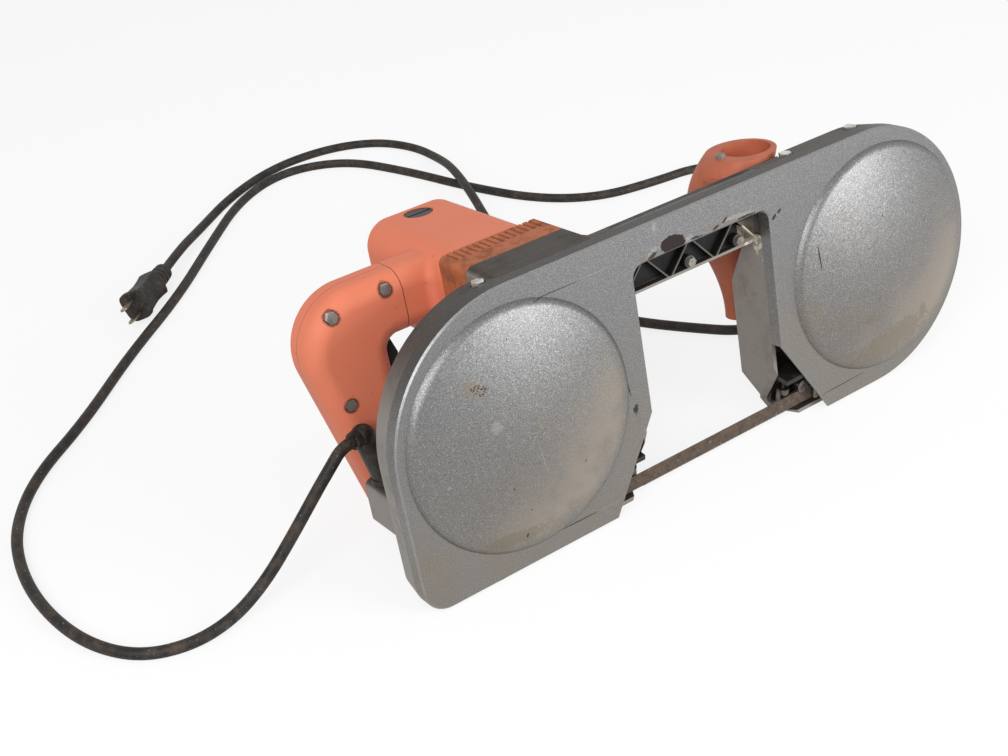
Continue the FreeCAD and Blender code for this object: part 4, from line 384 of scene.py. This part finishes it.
# Front cover
# The cover over both wheels is one pressed alloy sheet with two shallow domes.
# It carries speckled silver paint, scuffed, dusty and chipped in places.
COVER_SILVER = (0.165, 0.165, 0.167, 1)
COVER_LOW_TINT_AND_REFLECTION = (0.2, 0.187, 0.17, 1)
COVER_FLAKE_LIGHT = (0.46, 0.46, 0.46, 1)
COVER_FLAKE_DARK = (0.09, 0.088, 0.085, 1)
COVER_FILM_AND_REFLECTION = (0.33, 0.288, 0.242, 1)
COVER_EDGE_WEAR_AND_HIGHLIGHT = (0.5, 0.5, 0.495, 1)
COVER_GRIME = (0.19, 0.155, 0.11, 1)
COVER_CHALK_AND_STEP_HIGHLIGHT = (0.5, 0.485, 0.45, 1)
COVER_NICK_AND_STEP_SHADE = (0.02, 0.017, 0.015, 1)
COVER_CHIP = (0.022, 0.012, 0.012, 1)
COVER_HALF_WAY = -5.0
COVER_HALF_HEIGHT = 90.0
DOME_SEAM = (86.0, 87.6)
DOME_REACH = 91.0
NO_DEPTH = (1, 1000, 1)
# The dusty film lies on the low right part of each dome, under a slanting line through its middle, and its
# pale brown is also a painted reflection of the floor
FILM_REACH = 78.5
FILM_FADE = 8.5
FILM_SLANT = 0.75
FILM_DEPTH = 47.5
FLAKES_TO_METRE = 1450
FLAKE_TILT = 0.12
wheel_distance = joints["idler_spin"]["pos_m"][0] - joints["drive_spin"]["pos_m"][0]
# Each mark: along, up, half length, half height, turn in degrees, raggedness, and softness where it differs
MARK_REACH = 0.975
# The long thin lines at up 81.7, -86.2 and -87.3 are painted shade along small steps in the sheet
DARK_NICKS_AND_STEP_SHADE = [
    (90.7, -25.3, 2.2, 3.6, -12, 1.0), (230.4, 66.6, 2.6, 1.2, 40, 0.9), (235.5, 69.2, 2.2, 1.1, 35, 0.9),
    (263.6, 25.5, 0.6, 9.5, 2, 0.2), (53.1, -66.4, 0.9, 4.2, -38, 0.5), (186.2, 79.8, 3.0, 0.9, 30, 0.8),
    (-35.7, -100.6, 3.2, 1.6, 0, 0.8), (87.4, -8.0, 0.5, 7.0, 6, 0.8), (42.0, 81.7, 22.0, 0.32, 0, 0.3),
    (31.0, -86.2, 17.0, 0.45, -1, 0.3), (283.0, -87.3, 24.0, 0.35, 1, 0.3), (-21.5, -31.0, 0.7, 0.7, 0, 0.5),
    (-10.3, -52.9, 0.6, 0.6, 0, 0.5), (-14.7, -72.4, 0.7, 2.0, -10, 0.5), (37.2, -37.5, 0.6, 0.8, 0, 0.5),
    (121.0, 76.0, 5.5, 1.6, 28, 1.4), (160.0, 76.4, 5.0, 0.8, -4, 1.3), (206.0, 76.2, 8.0, 0.8, 0, 1.4),
    (178.0, 77.2, 3.0, 0.9, 20, 1.2), (112.0, 66.0, 1.0, 3.5, -15, 1.2), (322.9, 38.5, 0.5, 1.6, -40, 0.4),
    (-4.0, 68.0, 0.5, 0.6, 0, 0.4), (366.0, 20.0, 0.5, 0.9, 0, 0.4),
]
BROWN_STAINS = [
    (-34.6, 46.0, 9.0, 5.5, -20, 1.3), (305.2, -38.7, 5.0, 4.0, 20, 1.4), (363.4, -55.0, 4.5, 7.0, 15, 1.4),
    (-25.0, -70.0, 26.0, 5.0, -5, 1.5), (91.5, -31.0, 1.6, 8.0, 6, 0.9), (192.0, 76.6, 27.0, 1.8, -6, 1.4),
    (118.0, 77.5, 7.0, 2.4, 15, 1.5), (330.0, -66.0, 40.0, 12.0, 8, 1.6),
]
# The long thin lines at up 81.9 and -86.8 are painted highlight along the same steps
CHALK_MARKS_AND_STEP_HIGHLIGHT = [
    (-25.6, 16.3, 4.2, 3.6, 20, 2.2), (-8.0, 0.5, 6.5, 0.35, 28, 0.4), (-2.0, -3.0, 5.0, 0.3, 40, 0.4),
    (0.0, -16.5, 5.0, 0.3, 35, 0.4), (3.2, -18.0, 0.35, 14.0, 8, 0.4), (-53.9, -14.7, 0.8, 0.8, 0, 0.4),
    (-64.7, -11.9, 1.5, 1.2, 0, 1.0), (-51.0, -70.8, 0.8, 0.8, 0, 0.4), (-21.4, -58.3, 0.5, 1.4, 0, 0.4),
    (283.0, -13.0, 4.4, 0.4, 38, 0.4), (122.0, 79.0, 5.0, 2.4, 20, 1.4), (126.0, 96.0, 2.0, 3.5, 0, 1.4),
    (154.0, 78.0, 3.0, 2.4, 0, 1.4), (200.0, 78.4, 15.0, 1.6, -5, 1.5), (68.0, 81.9, 24.0, 0.25, 0, 0.3),
    (58.0, -86.8, 11.0, 0.3, 0, 0.4),
]
CHIP = (140.0, 79.0, 10.8, 6.4, -8, 0.28, 0.08)
CRUMBS = (-31.0, 44.5, 6.5, 3.6, -25, 1.2)
# Each kind of wear, with the painted step lines among nicks and chalk, from the first to the last: how much
# it covers, its marks, its colour
WEAR = [
    (0.5, BROWN_STAINS, COVER_GRIME),
    (0.2, CHALK_MARKS_AND_STEP_HIGHLIGHT, COVER_CHALK_AND_STEP_HIGHLIGHT),
    (0.9, DARK_NICKS_AND_STEP_SHADE, COVER_NICK_AND_STEP_SHADE),
    (1.0, [CHIP], COVER_CHIP),
]


def either(tree, *shares):
    """The largest of several shares."""
    largest = shares[0]
    for share in shares[1:]:
        largest = reckon(tree, "MAXIMUM", largest, share)
    return largest


def spot(tree, place, wobble, x, z, half_x, half_z, turn=0.0, ragged=0.5, soft=0.35):
    """A worn mark on the saw's face: an oval with a ragged edge, its places and sizes in millimetres."""
    oval = {"Vector": place, "Location": (x * MM, 0, z * MM), "Rotation": (0, -math.radians(turn), 0),
            "Scale": (half_x * MM, 1, half_z * MM)}
    local = add(tree, "Mapping", oval, vector_type="TEXTURE").outputs["Vector"]
    far = add(tree, "VectorMath", {0: local}, operation="LENGTH").outputs["Value"]
    edge = add(tree, "Math", {0: wobble, 1: ragged * 2, 2: far}, operation="MULTIPLY_ADD").outputs["Value"]
    return rise(tree, edge, MARK_REACH + ragged + soft / 2, MARK_REACH + ragged - soft / 2)


def from_middle(tree, saw, middle):
    """How far a place on the cover is from the middle of a dome, whatever its depth."""
    flat = add(tree, "Mapping", {"Vector": saw, "Location": (middle, 0, 0), "Scale": NO_DEPTH},
               vector_type="TEXTURE").outputs["Vector"]
    return add(tree, "VectorMath", {0: flat}, operation="LENGTH").outputs["Value"]


def tilted_flakes(tree, saw):
    """The surface's own direction, tipped a little another way in each flake of the paint."""
    cells = add(tree, "TexVoronoi", {"Vector": saw, "Scale": FLAKES_TO_METRE}).outputs["Color"]
    tilt = add(tree, "VectorMath", {0: cells, 1: (0.5, 0.5, 0.5)}, operation="SUBTRACT").outputs["Vector"]
    tilt = add(tree, "VectorMath", {0: tilt, "Scale": FLAKE_TILT}, operation="SCALE").outputs["Vector"]
    normal = add(tree, "NewGeometry").outputs["Normal"]
    tipped = add(tree, "VectorMath", {0: normal, 1: tilt}, operation="ADD").outputs["Vector"]
    return add(tree, "VectorMath", {0: tipped}, operation="NORMALIZE").outputs["Vector"]


def silver_paint():
    """Flaked silver paint under haze and film, with its marks, bright edges and darker upper sides. Painted
    light: a reflection of the floor lightens the lower part and the film, a highlight brightens the edges,
    and shade and highlight lie along thin steps.
    """
    finish, tree, shader, saw = new_finish("speckled_silver_paint")
    x, _, z = parts_of(tree, saw)
    wobble = cloud(tree, saw, 420, 4, 0.7)
    grain = cloud(tree, saw, 1500, 2, 0.7)
    low = below(tree, z, COVER_HALF_WAY, COVER_HALF_HEIGHT)
    # Toward the bottom the silver turns warmer with dirt, and lighter with a painted reflection of the floor
    colour = paint(tree, low, COVER_SILVER, COVER_LOW_TINT_AND_REFLECTION)
    colour = paint(tree, rise(tree, grain, 0.5, 0.82), colour, COVER_FLAKE_LIGHT)
    colour = paint(tree, rise(tree, grain, 0.5, 0.2), colour, COVER_FLAKE_DARK)
    haze = reckon(tree, "ADD", cloud(tree, saw, 22, 6, 0.7), both(tree, low, 0.16))
    haze = rise(tree, haze, 0.56, 0.86)
    colour = paint(tree, both(tree, haze, 0.4), colour, COVER_GRIME)
    seams = []
    domes = []
    feet = []
    for middle in (0.0, wheel_distance):
        far = from_middle(tree, saw, middle)
        seams.append(within(tree, far, *DOME_SEAM, 0.7))
        domes.append(below(tree, far, DOME_REACH, 1.0))
        line = both(tree, reckon(tree, "SUBTRACT", x, middle), FILM_SLANT)
        under = below(tree, reckon(tree, "SUBTRACT", z, line), -FILM_DEPTH, FILM_DEPTH)
        feet.append(both(tree, below(tree, far, FILM_REACH, FILM_FADE), under))
    gathered = rise(tree, reckon(tree, "ADD", wobble, both(tree, low, 0.35)), 0.62, 0.85)
    ring = both(tree, either(tree, *seams), gathered)
    colour = paint(tree, both(tree, ring, 0.2), colour, COVER_GRIME)
    # Pale brown film on the domes' low sides: dust, and a painted reflection of the floor
    film = both(tree, either(tree, *feet), rise(tree, cloud(tree, saw, 26, 5, 0.6), 0.2, 0.55))
    colour = paint(tree, film, colour, COVER_FILM_AND_REFLECTION)
    bare = []
    for share, marks, tint in WEAR:
        worn = either(tree, *[spot(tree, saw, wobble, *mark) for mark in marks])
        colour = paint(tree, both(tree, worn, share), colour, tint)
        if tint in (COVER_NICK_AND_STEP_SHADE, COVER_CHIP):
            bare.append(worn)
    bare = either(tree, *bare)
    crumbs = both(tree, spot(tree, saw, wobble, *CRUMBS), rise(tree, cloud(tree, saw, 800, 2), 0.5, 0.6))
    colour = paint(tree, crumbs, colour, COVER_NICK_AND_STEP_SHADE)
    # Lighter bevels and slanted faces, chosen by their slope: worn paint and a painted highlight along the
    # edges
    slope = facing(tree, -back)
    slant = both(tree, rise(tree, slope, 0.4, 0.58), rise(tree, slope, 0.84, 0.72))
    edge = both(tree, rise(tree, slope, 0.73, 0.8), rise(tree, slope, 0.985, 0.93))
    edge = either(tree, edge, both(tree, slant, 0.28))
    edge = both(tree, edge, spread(tree, either(tree, *domes), 0, 1, 1, 0))
    colour = paint(tree, both(tree, edge, 0.8), colour, COVER_EDGE_WEAR_AND_HIGHLIGHT)
    # Upward-facing rim sides are made darker
    side = both(tree, rise(tree, slope, 0.3, 0.15), rise(tree, facing(tree, up), 0.2, 0.8))
    colour = paint(tree, both(tree, side, 0.75), colour, FRAME_TOP)
    roughness = either(tree, spread(tree, haze, 0, 1, 0.43, 0.56), both(tree, bare, 0.8))
    join(tree, shader, Base_Color=colour, Metallic=spread(tree, bare, 0, 1, 0.85, 0.0), Roughness=roughness,
         Specular_IOR_Level=0.3, Normal=tilted_flakes(tree, saw))
    return finish


wear_the(silver_paint(), "front_cover")
soften(CASTING_EDGE, "front_cover")

# Rim, handle and grip screws
# Zinc-plated hexagon screws hold the cover, the handle halves and the front grip.
# They are bright where they are clean, and the grip's are dull and chalky.
SCREW_EDGE = 0.0004
chalky_steel = worn_metal("chalky_steel", (0.27, 0.25, 0.225, 1), (0.12, 0.105, 0.085, 1), 0.5, metallic=0.5)
wear_the(bright_steel, "rim_screws", "handle_screws")
wear_the(chalky_steel, "front_handle_screws")
soften(SCREW_EDGE, "rim_screws", "handle_screws", "front_handle_screws")

# Motor housing, handle halves and front grip
# All three are moulded in matte orange plastic, with fine dark specks from use.
# The housing is bolted to the gear plate, and the handle's halves screw to each other.
ORANGE = (0.75, 0.205, 0.112, 1)
ORANGE_PALE = (0.8, 0.235, 0.135, 1)
ORANGE_SPECK = (0.1, 0.035, 0.02, 1)
ORANGE_GRIME = (0.16, 0.065, 0.035, 1)
RIBS_BROWN = (0.4, 0.118, 0.045, 1)
RIBS_ALONG = (2, 120)
RIBS_BACK = (42, 77.6)
RIBS_CRUMB = (0.05, 0.025, 0.015, 1)
GRIP_BROWN = (0.36, 0.105, 0.052, 1)
GRIP_FROM = 165.0
SEAM_DIRT_AND_WELL_SHADE = (0.09, 0.028, 0.015, 1)
HANDLE_SEAM = -18.0
HANDLE_SEAM_HALF = 0.35
HANDLE_SEAM_FROM = 81.0
HALVES_SEAM = 112.0
HALVES_SEAM_HALF = 0.2
# The screws' wells in the handle, where a dark ring is painted shade: along and up
SCREW_WELLS = [(-30.0, 86.0), (-71.7, 81.5), (-73.3, 17.6)]
WELL_RADIUS = 5.8
WELL_BACK = (91.0, 98.0)
MOULDED_EDGE = 0.0008
HALVES_EDGE = 0.0002


def dirty_seams_and_shaded_wells(tree, saw):
    """A share that is 1 in the handle's dirty seams, and in the wells round its screws as painted shade."""
    x, y, _ = parts_of(tree, saw)
    wobble = cloud(tree, saw, 420, 4, 0.7)
    handle = within(tree, x, HANDLE_SEAM - HANDLE_SEAM_HALF, HANDLE_SEAM + HANDLE_SEAM_HALF, 0.2)
    halves = within(tree, y, HALVES_SEAM - HALVES_SEAM_HALF, HALVES_SEAM + HALVES_SEAM_HALF, 0.15)
    seams = [both(tree, handle, above(tree, y, HANDLE_SEAM_FROM, 1.0)),
             both(tree, halves, below(tree, x, HANDLE_SEAM - 0.25, 0.25))]
    # Painted shade: a dark ring in each screw's well
    for well_x, well_z in SCREW_WELLS:
        ring = spot(tree, saw, wobble, well_x, well_z, WELL_RADIUS, WELL_RADIUS, ragged=0.2)
        seams.append(both(tree, ring, within(tree, y, *WELL_BACK, 0.5)))
    return either(tree, *seams)


def orange_plastic():
    """Matte orange, specked all over, browned on the motor's ribs and on the front grip."""
    finish, tree, shader, saw = new_finish("orange_plastic")
    x, y, _ = parts_of(tree, saw)
    colour = paint(tree, cloud(tree, saw, 30, 4, 0.6), ORANGE, ORANGE_PALE)
    speck = rise(tree, cloud(tree, saw, 330, 2, 0.5), 0.73, 0.79)
    colour = paint(tree, both(tree, speck, 0.7), colour, ORANGE_SPECK)
    ribs = both(tree, within(tree, y, *RIBS_BACK, 0.5), within(tree, x, *RIBS_ALONG, 2))
    colour = paint(tree, both(tree, ribs, 0.85), colour, RIBS_BROWN)
    handled = spread(tree, cloud(tree, saw, 40, 5, 0.65), 0.3, 0.7, 0.5, 0.9)
    colour = paint(tree, both(tree, above(tree, x, GRIP_FROM, 5.0), handled), colour, GRIP_BROWN)
    grime = reckon(tree, "ADD", cloud(tree, saw, 75, 6, 0.72), both(tree, ribs, 0.28))
    grime = rise(tree, grime, 0.7, 0.95)
    colour = paint(tree, both(tree, grime, 0.7), colour, ORANGE_GRIME)
    crumbs = both(tree, ribs, rise(tree, cloud(tree, saw, 260, 5, 0.7), 0.6, 0.7))
    colour = paint(tree, both(tree, crumbs, 0.7), colour, RIBS_CRUMB)
    colour = paint(tree, both(tree, dirty_seams_and_shaded_wells(tree, saw), 0.8), colour, SEAM_DIRT_AND_WELL_SHADE)
    join(tree, shader, Base_Color=colour, Roughness=spread(tree, grime, 0, 1, 0.55, 0.8),
         Specular_IOR_Level=0.25, Normal=pitted(tree, saw, 1300, 2, 0.1, 0.0003))
    return finish


wear_the(orange_plastic(), "motor_housing", "handle_front_half", "handle_rear_half", "front_handle")
soften(MOULDED_EDGE, "motor_housing", "front_handle")
soften(HALVES_EDGE, "handle_front_half", "handle_rear_half")

# Trigger, switch, brush caps and other black mouldings
# These are black plastic: the trigger slides in the grip, and the caps screw over the brushes.
# They have a soft sheen, with dust lying in patches.
black_plastic = dusty_black("black_plastic", (0.018, 0.017, 0.016, 1), (0.06, 0.05, 0.04, 1), 0.38,
                            dust_low=0.55, dust_high=0.85)
wear_the(black_plastic, "trigger", "switch_body", "brush_caps", "fan", "commutator", "brushes")
soften(MOULDED_EDGE, "trigger", "brush_caps")

# Cord boot
# A moulded rubber sleeve stands on the frame's lug and holds the cord where it comes out.
# It bends over to the cord's own line, so the cord can't kink there.
BOOT_EDGE = 0.0012
rubber = dusty_black("dirty_rubber", (0.011, 0.0095, 0.0085, 1), (0.075, 0.056, 0.043, 1), 0.5,
                     dust_low=0.4, dust_high=0.74, specks=0.55)
wear_the(rubber, "cord_boot")
soften(BOOT_EDGE, "cord_boot")

# Cord
# A round rubber mains cord leaves the boot, lies loose on the floor round the saw and ends in its plug.
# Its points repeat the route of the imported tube.
CORD_DIAMETER = 0.0084
CORD_ROUNDNESS = 6
CORD_STEPS = 10
CORD_ROUTE = [
    (-0.2488, -0.0141, 0.0884),
    (-0.2590, -0.0177, 0.0900),
    (-0.2680, -0.0185, 0.0815),
    (-0.2830, -0.0190, 0.0660),
    (-0.3060, -0.0220, 0.0435),
    (-0.3320, -0.0250, 0.0200),
    (-0.3600, -0.0290, 0.0065),
    (-0.3920, -0.0310, 0.0042),
    (-0.4240, -0.0180, 0.0042),
    (-0.4460, 0.0160, 0.0042),
    (-0.4560, 0.0630, 0.0042),
    (-0.4550, 0.1120, 0.0042),
    (-0.4420, 0.1610, 0.0042),
    (-0.4090, 0.2100, 0.0042),
    (-0.3520, 0.2550, 0.0042),
    (-0.2850, 0.3220, 0.0042),
    (-0.2120, 0.3840, 0.0042),
    (-0.1460, 0.4540, 0.0042),
    (-0.0840, 0.5170, 0.0042),
    (-0.0200, 0.5460, 0.0042),
    (0.0430, 0.5230, 0.0042),
    (0.0780, 0.4550, 0.0042),
    (0.1040, 0.3840, 0.0042),
    (0.1390, 0.3160, 0.0042),
    (0.1860, 0.2770, 0.0042),
    (0.2460, 0.2660, 0.0042),
    (0.2980, 0.2620, 0.0042),
    (0.3340, 0.2300, 0.0042),
    (0.3380, 0.1840, 0.0042),
    (0.3060, 0.1380, 0.0042),
    (0.2580, 0.0990, 0.0042),
    (0.2180, 0.0580, 0.0042),
    (0.1860, 0.0200, 0.0042),
    (0.1560, 0.0040, 0.0042),
    (0.1240, 0.0110, 0.0042),
    (0.0980, 0.0410, 0.0042),
    (0.0710, 0.0760, 0.0042),
    (0.0460, 0.1220, 0.0042),
    (0.0400, 0.1820, 0.0042),
    (0.0560, 0.2480, 0.0042),
    (0.0760, 0.3080, 0.0050),
    (0.0910, 0.3620, 0.0145),
    (0.1050, 0.4120, 0.0145),
    (0.1170, 0.4560, 0.0050),
    (0.1140, 0.5000, 0.0042),
    (0.0900, 0.5400, 0.0042),
    (0.0420, 0.5620, 0.0042),
    (-0.0220, 0.5610, 0.0042),
    (-0.0860, 0.5320, 0.0042),
    (-0.1420, 0.4870, 0.0050),
    (-0.1785, 0.4491, 0.0130),
    (-0.2070, 0.4210, 0.0130),
]
cord_line = bpy.data.curves.new("mains_cord", "CURVE")
cord_line.dimensions = "3D"
cord_line.bevel_depth = CORD_DIAMETER / 2
cord_line.bevel_resolution = CORD_ROUNDNESS
cord_line.resolution_u = CORD_STEPS
run = cord_line.splines.new("NURBS")
run.points.add(len(CORD_ROUTE) - 1)
for point, place in zip(run.points, CORD_ROUTE):
    point.co = (*place, 1)
run.order_u = 3
run.use_endpoint_u = True
mains_cord = put_in_scene("mains_cord", cord_line)
cord_line.materials.append(rubber)
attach(mains_cord, "saw")
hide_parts("cord")

# Plug
# The plug is moulded on the cord, with a ringed relief behind it and a flange in front.
# Two flat brass blades with holes stand in the flange, and the plug lies rolled over on its edge.
PLUG_TURN = math.radians(134.6)
PLUG_RISE = math.radians(2.9)
PLUG_ROLL = math.radians(-66)
PLUG_SIDES = 56
# Each ring of the moulding: along, half width, half height, squareness
PLUG_RINGS = [
    (-0.6, 4.3, 4.3, 2), (0.0, 7.2, 7.2, 2), (0.8, 8.2, 8.2, 2), (5.0, 8.5, 8.5, 2), (5.8, 7.0, 7.0, 2),
    (7.0, 7.0, 7.0, 2), (7.8, 8.7, 8.7, 2), (12.0, 8.9, 8.9, 2), (12.8, 7.3, 7.3, 2), (14.0, 7.3, 7.3, 2),
    (14.8, 9.0, 9.0, 2), (18.4, 9.1, 9.1, 2), (19.4, 8.6, 8.6, 2), (20.6, 9.4, 8.8, 2.4),
    (22.6, 11.5, 9.5, 3.6), (23.6, 12.0, 9.8, 4.5), (25.0, 12.1, 9.9, 7), (33.0, 11.2, 9.0, 8),
    (42.0, 10.7, 8.7, 8), (52.0, 11.2, 9.3, 8), (59.0, 11.8, 10.0, 7), (60.4, 12.2, 10.4, 4.5),
    (61.2, 13.2, 11.4, 4), (61.9, 13.6, 11.8, 4), (66.2, 13.6, 11.8, 4), (66.9, 13.2, 11.4, 4),
    (67.1, 12.6, 10.8, 4),
]
BLADE_OUTLINE = [(65.0, -3.3), (82.4, -3.3), (85.6, -1.7), (85.6, 1.7), (82.4, 3.3), (65.0, 3.3)]
BLADE_PITCH = 12.7
BLADE_THICKNESS = 0.0015
HOLE_ALONG = 79.6
HOLE_RADIUS = 1.6
HOLE_SIDES = 20
plug_place = (Matrix.Translation(CORD_ROUTE[-1]) @ Matrix.Rotation(PLUG_TURN, 4, "Z")
              @ Matrix.Rotation(PLUG_RISE, 4, "X") @ Matrix.Rotation(PLUG_ROLL, 4, "Y"))


def bowed(share, squareness):
    """A side of a rounded square: its cosine or sine, pushed out toward the corners."""
    return math.copysign(abs(share) ** (2 / squareness), share)


def plug_moulding():
    """The rubber body, lofted through its rings and closed at both ends."""
    points = []
    for along, wide, high, squareness in PLUG_RINGS:
        for step in range(PLUG_SIDES):
            angle = 2 * math.pi * (step + 0.5) / PLUG_SIDES
            on_ring = Vector((wide * bowed(math.cos(angle), squareness), along,
                              high * bowed(math.sin(angle), squareness)))
            points.append(plug_place @ (on_ring * MM))
    faces = []
    for ring in range(len(PLUG_RINGS) - 1):
        low = ring * PLUG_SIDES
        high = low + PLUG_SIDES
        for step in range(PLUG_SIDES):
            after = (step + 1) % PLUG_SIDES
            faces.append((low + step, high + step, high + after, low + after))
    last = (len(PLUG_RINGS) - 1) * PLUG_SIDES
    faces.append(tuple(range(PLUG_SIDES)))
    faces.append(tuple(last + step for step in reversed(range(PLUG_SIDES))))
    mesh = bpy.data.meshes.new("plug_moulding")
    mesh.from_pydata(points, [], faces)
    for polygon in mesh.polygons:
        polygon.use_smooth = len(polygon.vertices) == 4
    return mesh


def plug_blades():
    """Both blades, cut from sheet with a round hole near the tip."""
    form = bmesh.new()
    hole = []
    for step in range(HOLE_SIDES):
        angle = 2 * math.pi * step / HOLE_SIDES
        hole.append((HOLE_ALONG + HOLE_RADIUS * math.cos(angle), HOLE_RADIUS * math.sin(angle)))
    for side in (-1, 1):
        edges = []
        for loop in (BLADE_OUTLINE, hole):
            corners = []
            for far, high in loop:
                corner = Vector((side * BLADE_PITCH / 2, far, high)) * MM
                corners.append(form.verts.new(plug_place @ corner))
            for first, second in zip(corners, corners[1:] + corners[:1]):
                edges.append(form.edges.new((first, second)))
        bmesh.ops.triangle_fill(form, use_beauty=True, use_dissolve=False, edges=edges)
    mesh = bpy.data.meshes.new("plug_blades")
    form.to_mesh(mesh)
    form.free()
    return mesh


dull_brass = worn_metal("dull_brass", (0.34, 0.29, 0.21, 1), (0.16, 0.135, 0.1, 1), 0.3)
plug = put_in_scene("plug_moulding", plug_moulding())
blades = put_in_scene("plug_blades", plug_blades())
for piece, finish, replaced, slot in ((plug, rubber, "plug_body", "black_rubber"),
                                      (blades, dull_brass, "plug_prongs", "bronze")):
    piece.data.materials.append(finish)
    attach(piece, "saw")
    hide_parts(replaced)
sheet = blades.modifiers.new("sheet_thickness", "SOLIDIFY")
sheet.thickness = BLADE_THICKNESS
sheet.offset = 0

# Floor
# The saw stands on a wide, plain pale floor, which keeps its soft shadow.
# What the camera sees of it is nearly white, and it throws only a little light back up.
FLOOR_SIZE = 80.0
FLOOR_WHITE = (0.95, 0.95, 0.95, 1)
FLOOR_BOUNCE = (0.4, 0.4, 0.4, 1)
PLAIN_WHITE = (1, 1, 1, 1)
CLEAN_SHARE = 0.8
half_floor = FLOOR_SIZE / 2
floor_corners = [(-half_floor, -half_floor, 0), (half_floor, -half_floor, 0),
                 (half_floor, half_floor, 0), (-half_floor, half_floor, 0)]
floor_mesh = bpy.data.meshes.new("floor")
floor_mesh.from_pydata(floor_corners, [], [(0, 1, 2, 3)])
floor = put_in_scene("floor", floor_mesh)


def seen(tree):
    """A share that is 1 for what the camera sees straight, in a mirror or through glass."""
    path = add(tree, "LightPath").outputs
    return either(tree, path["Is Camera Ray"], path["Is Glossy Ray"], path["Is Transmission Ray"])


floor_finish = bpy.data.materials.new("pale_floor")
floor_finish.use_nodes = True
floor_finish.cycles.emission_sampling = "NONE"
ground = floor_finish.node_tree
surface = ground.nodes["Principled BSDF"]
in_view = seen(ground)
join(ground, surface, Base_Color=paint(ground, in_view, FLOOR_BOUNCE, FLOOR_WHITE), Roughness=0.9)
white = add(ground, "Emission", {"Color": PLAIN_WHITE, "Strength": 1.0})
floor_mix = add(ground, "MixShader", {0: both(ground, in_view, CLEAN_SHARE), 1: surface.outputs["BSDF"],
                                      2: white.outputs["Emission"]})
ground.links.new(floor_mix.outputs["Shader"], ground.nodes["Material Output"].inputs["Surface"])
floor_mesh.materials.append(floor_finish)

# Sky and lamps
# The light is soft and plain: an even pale sky and two square lamps.
# The larger lamp stands to the upper left, the other one low in front of the cover.
SKY_STRENGTH = 0.48
SKY_SEEN = 0.9
# Each lamp: its name, its place and width in metres, its power in watts
LAMPS = [
    ("key_light", (-1.5, -1.1, 1.5), 1.4, 32.0),
    ("front_light", (1.0, -1.7, 0.74), 1.0, 27.0),
]
sky = bpy.data.worlds.new("studio")
sky.use_nodes = True
sky_tree = sky.node_tree
sky_light = sky_tree.nodes["Background"]
feed(sky_tree, sky_light.inputs["Color"], PLAIN_WHITE)
feed(sky_tree, sky_light.inputs["Strength"], spread(sky_tree, seen(sky_tree), 0, 1, SKY_STRENGTH, SKY_SEEN))
bpy.context.scene.world = sky
for name, place, width, power in LAMPS:
    lamp = bpy.data.lights.new(name, "AREA")
    lamp.size = width
    lamp.energy = power
    holder = put_in_scene(name, lamp)
    holder.location = place
    holder.rotation_euler = (-Vector(place)).to_track_quat("-Z", "Y").to_euler()

# Camera
# The camera stands where the picture was taken from, above the saw and in front of its left end.
# Its place, its two directions and its lens were worked out from points on the saw.
CAMERA_PLACE = Vector((-0.5772, -0.7242, 0.6568))
CAMERA_RIGHT = Vector((0.81509, -0.57499, -0.07085))
CAMERA_DOWN = Vector((-0.37304, -0.42733, -0.82355))
CAMERA_LENS = 51.786
SENSOR_WIDTH = 36
view_from = bpy.data.cameras.new("camera")
view_from.sensor_width = SENSOR_WIDTH
view_from.lens = CAMERA_LENS
camera = put_in_scene("camera", view_from)
ahead = CAMERA_RIGHT.cross(CAMERA_DOWN)
turn = Matrix((CAMERA_RIGHT, -CAMERA_DOWN, -ahead)).transposed()
camera.matrix_world = Matrix.Translation(CAMERA_PLACE) @ turn.to_4x4()
bpy.context.scene.camera = camera
bpy.context.scene.view_settings.view_transform = "Standard"
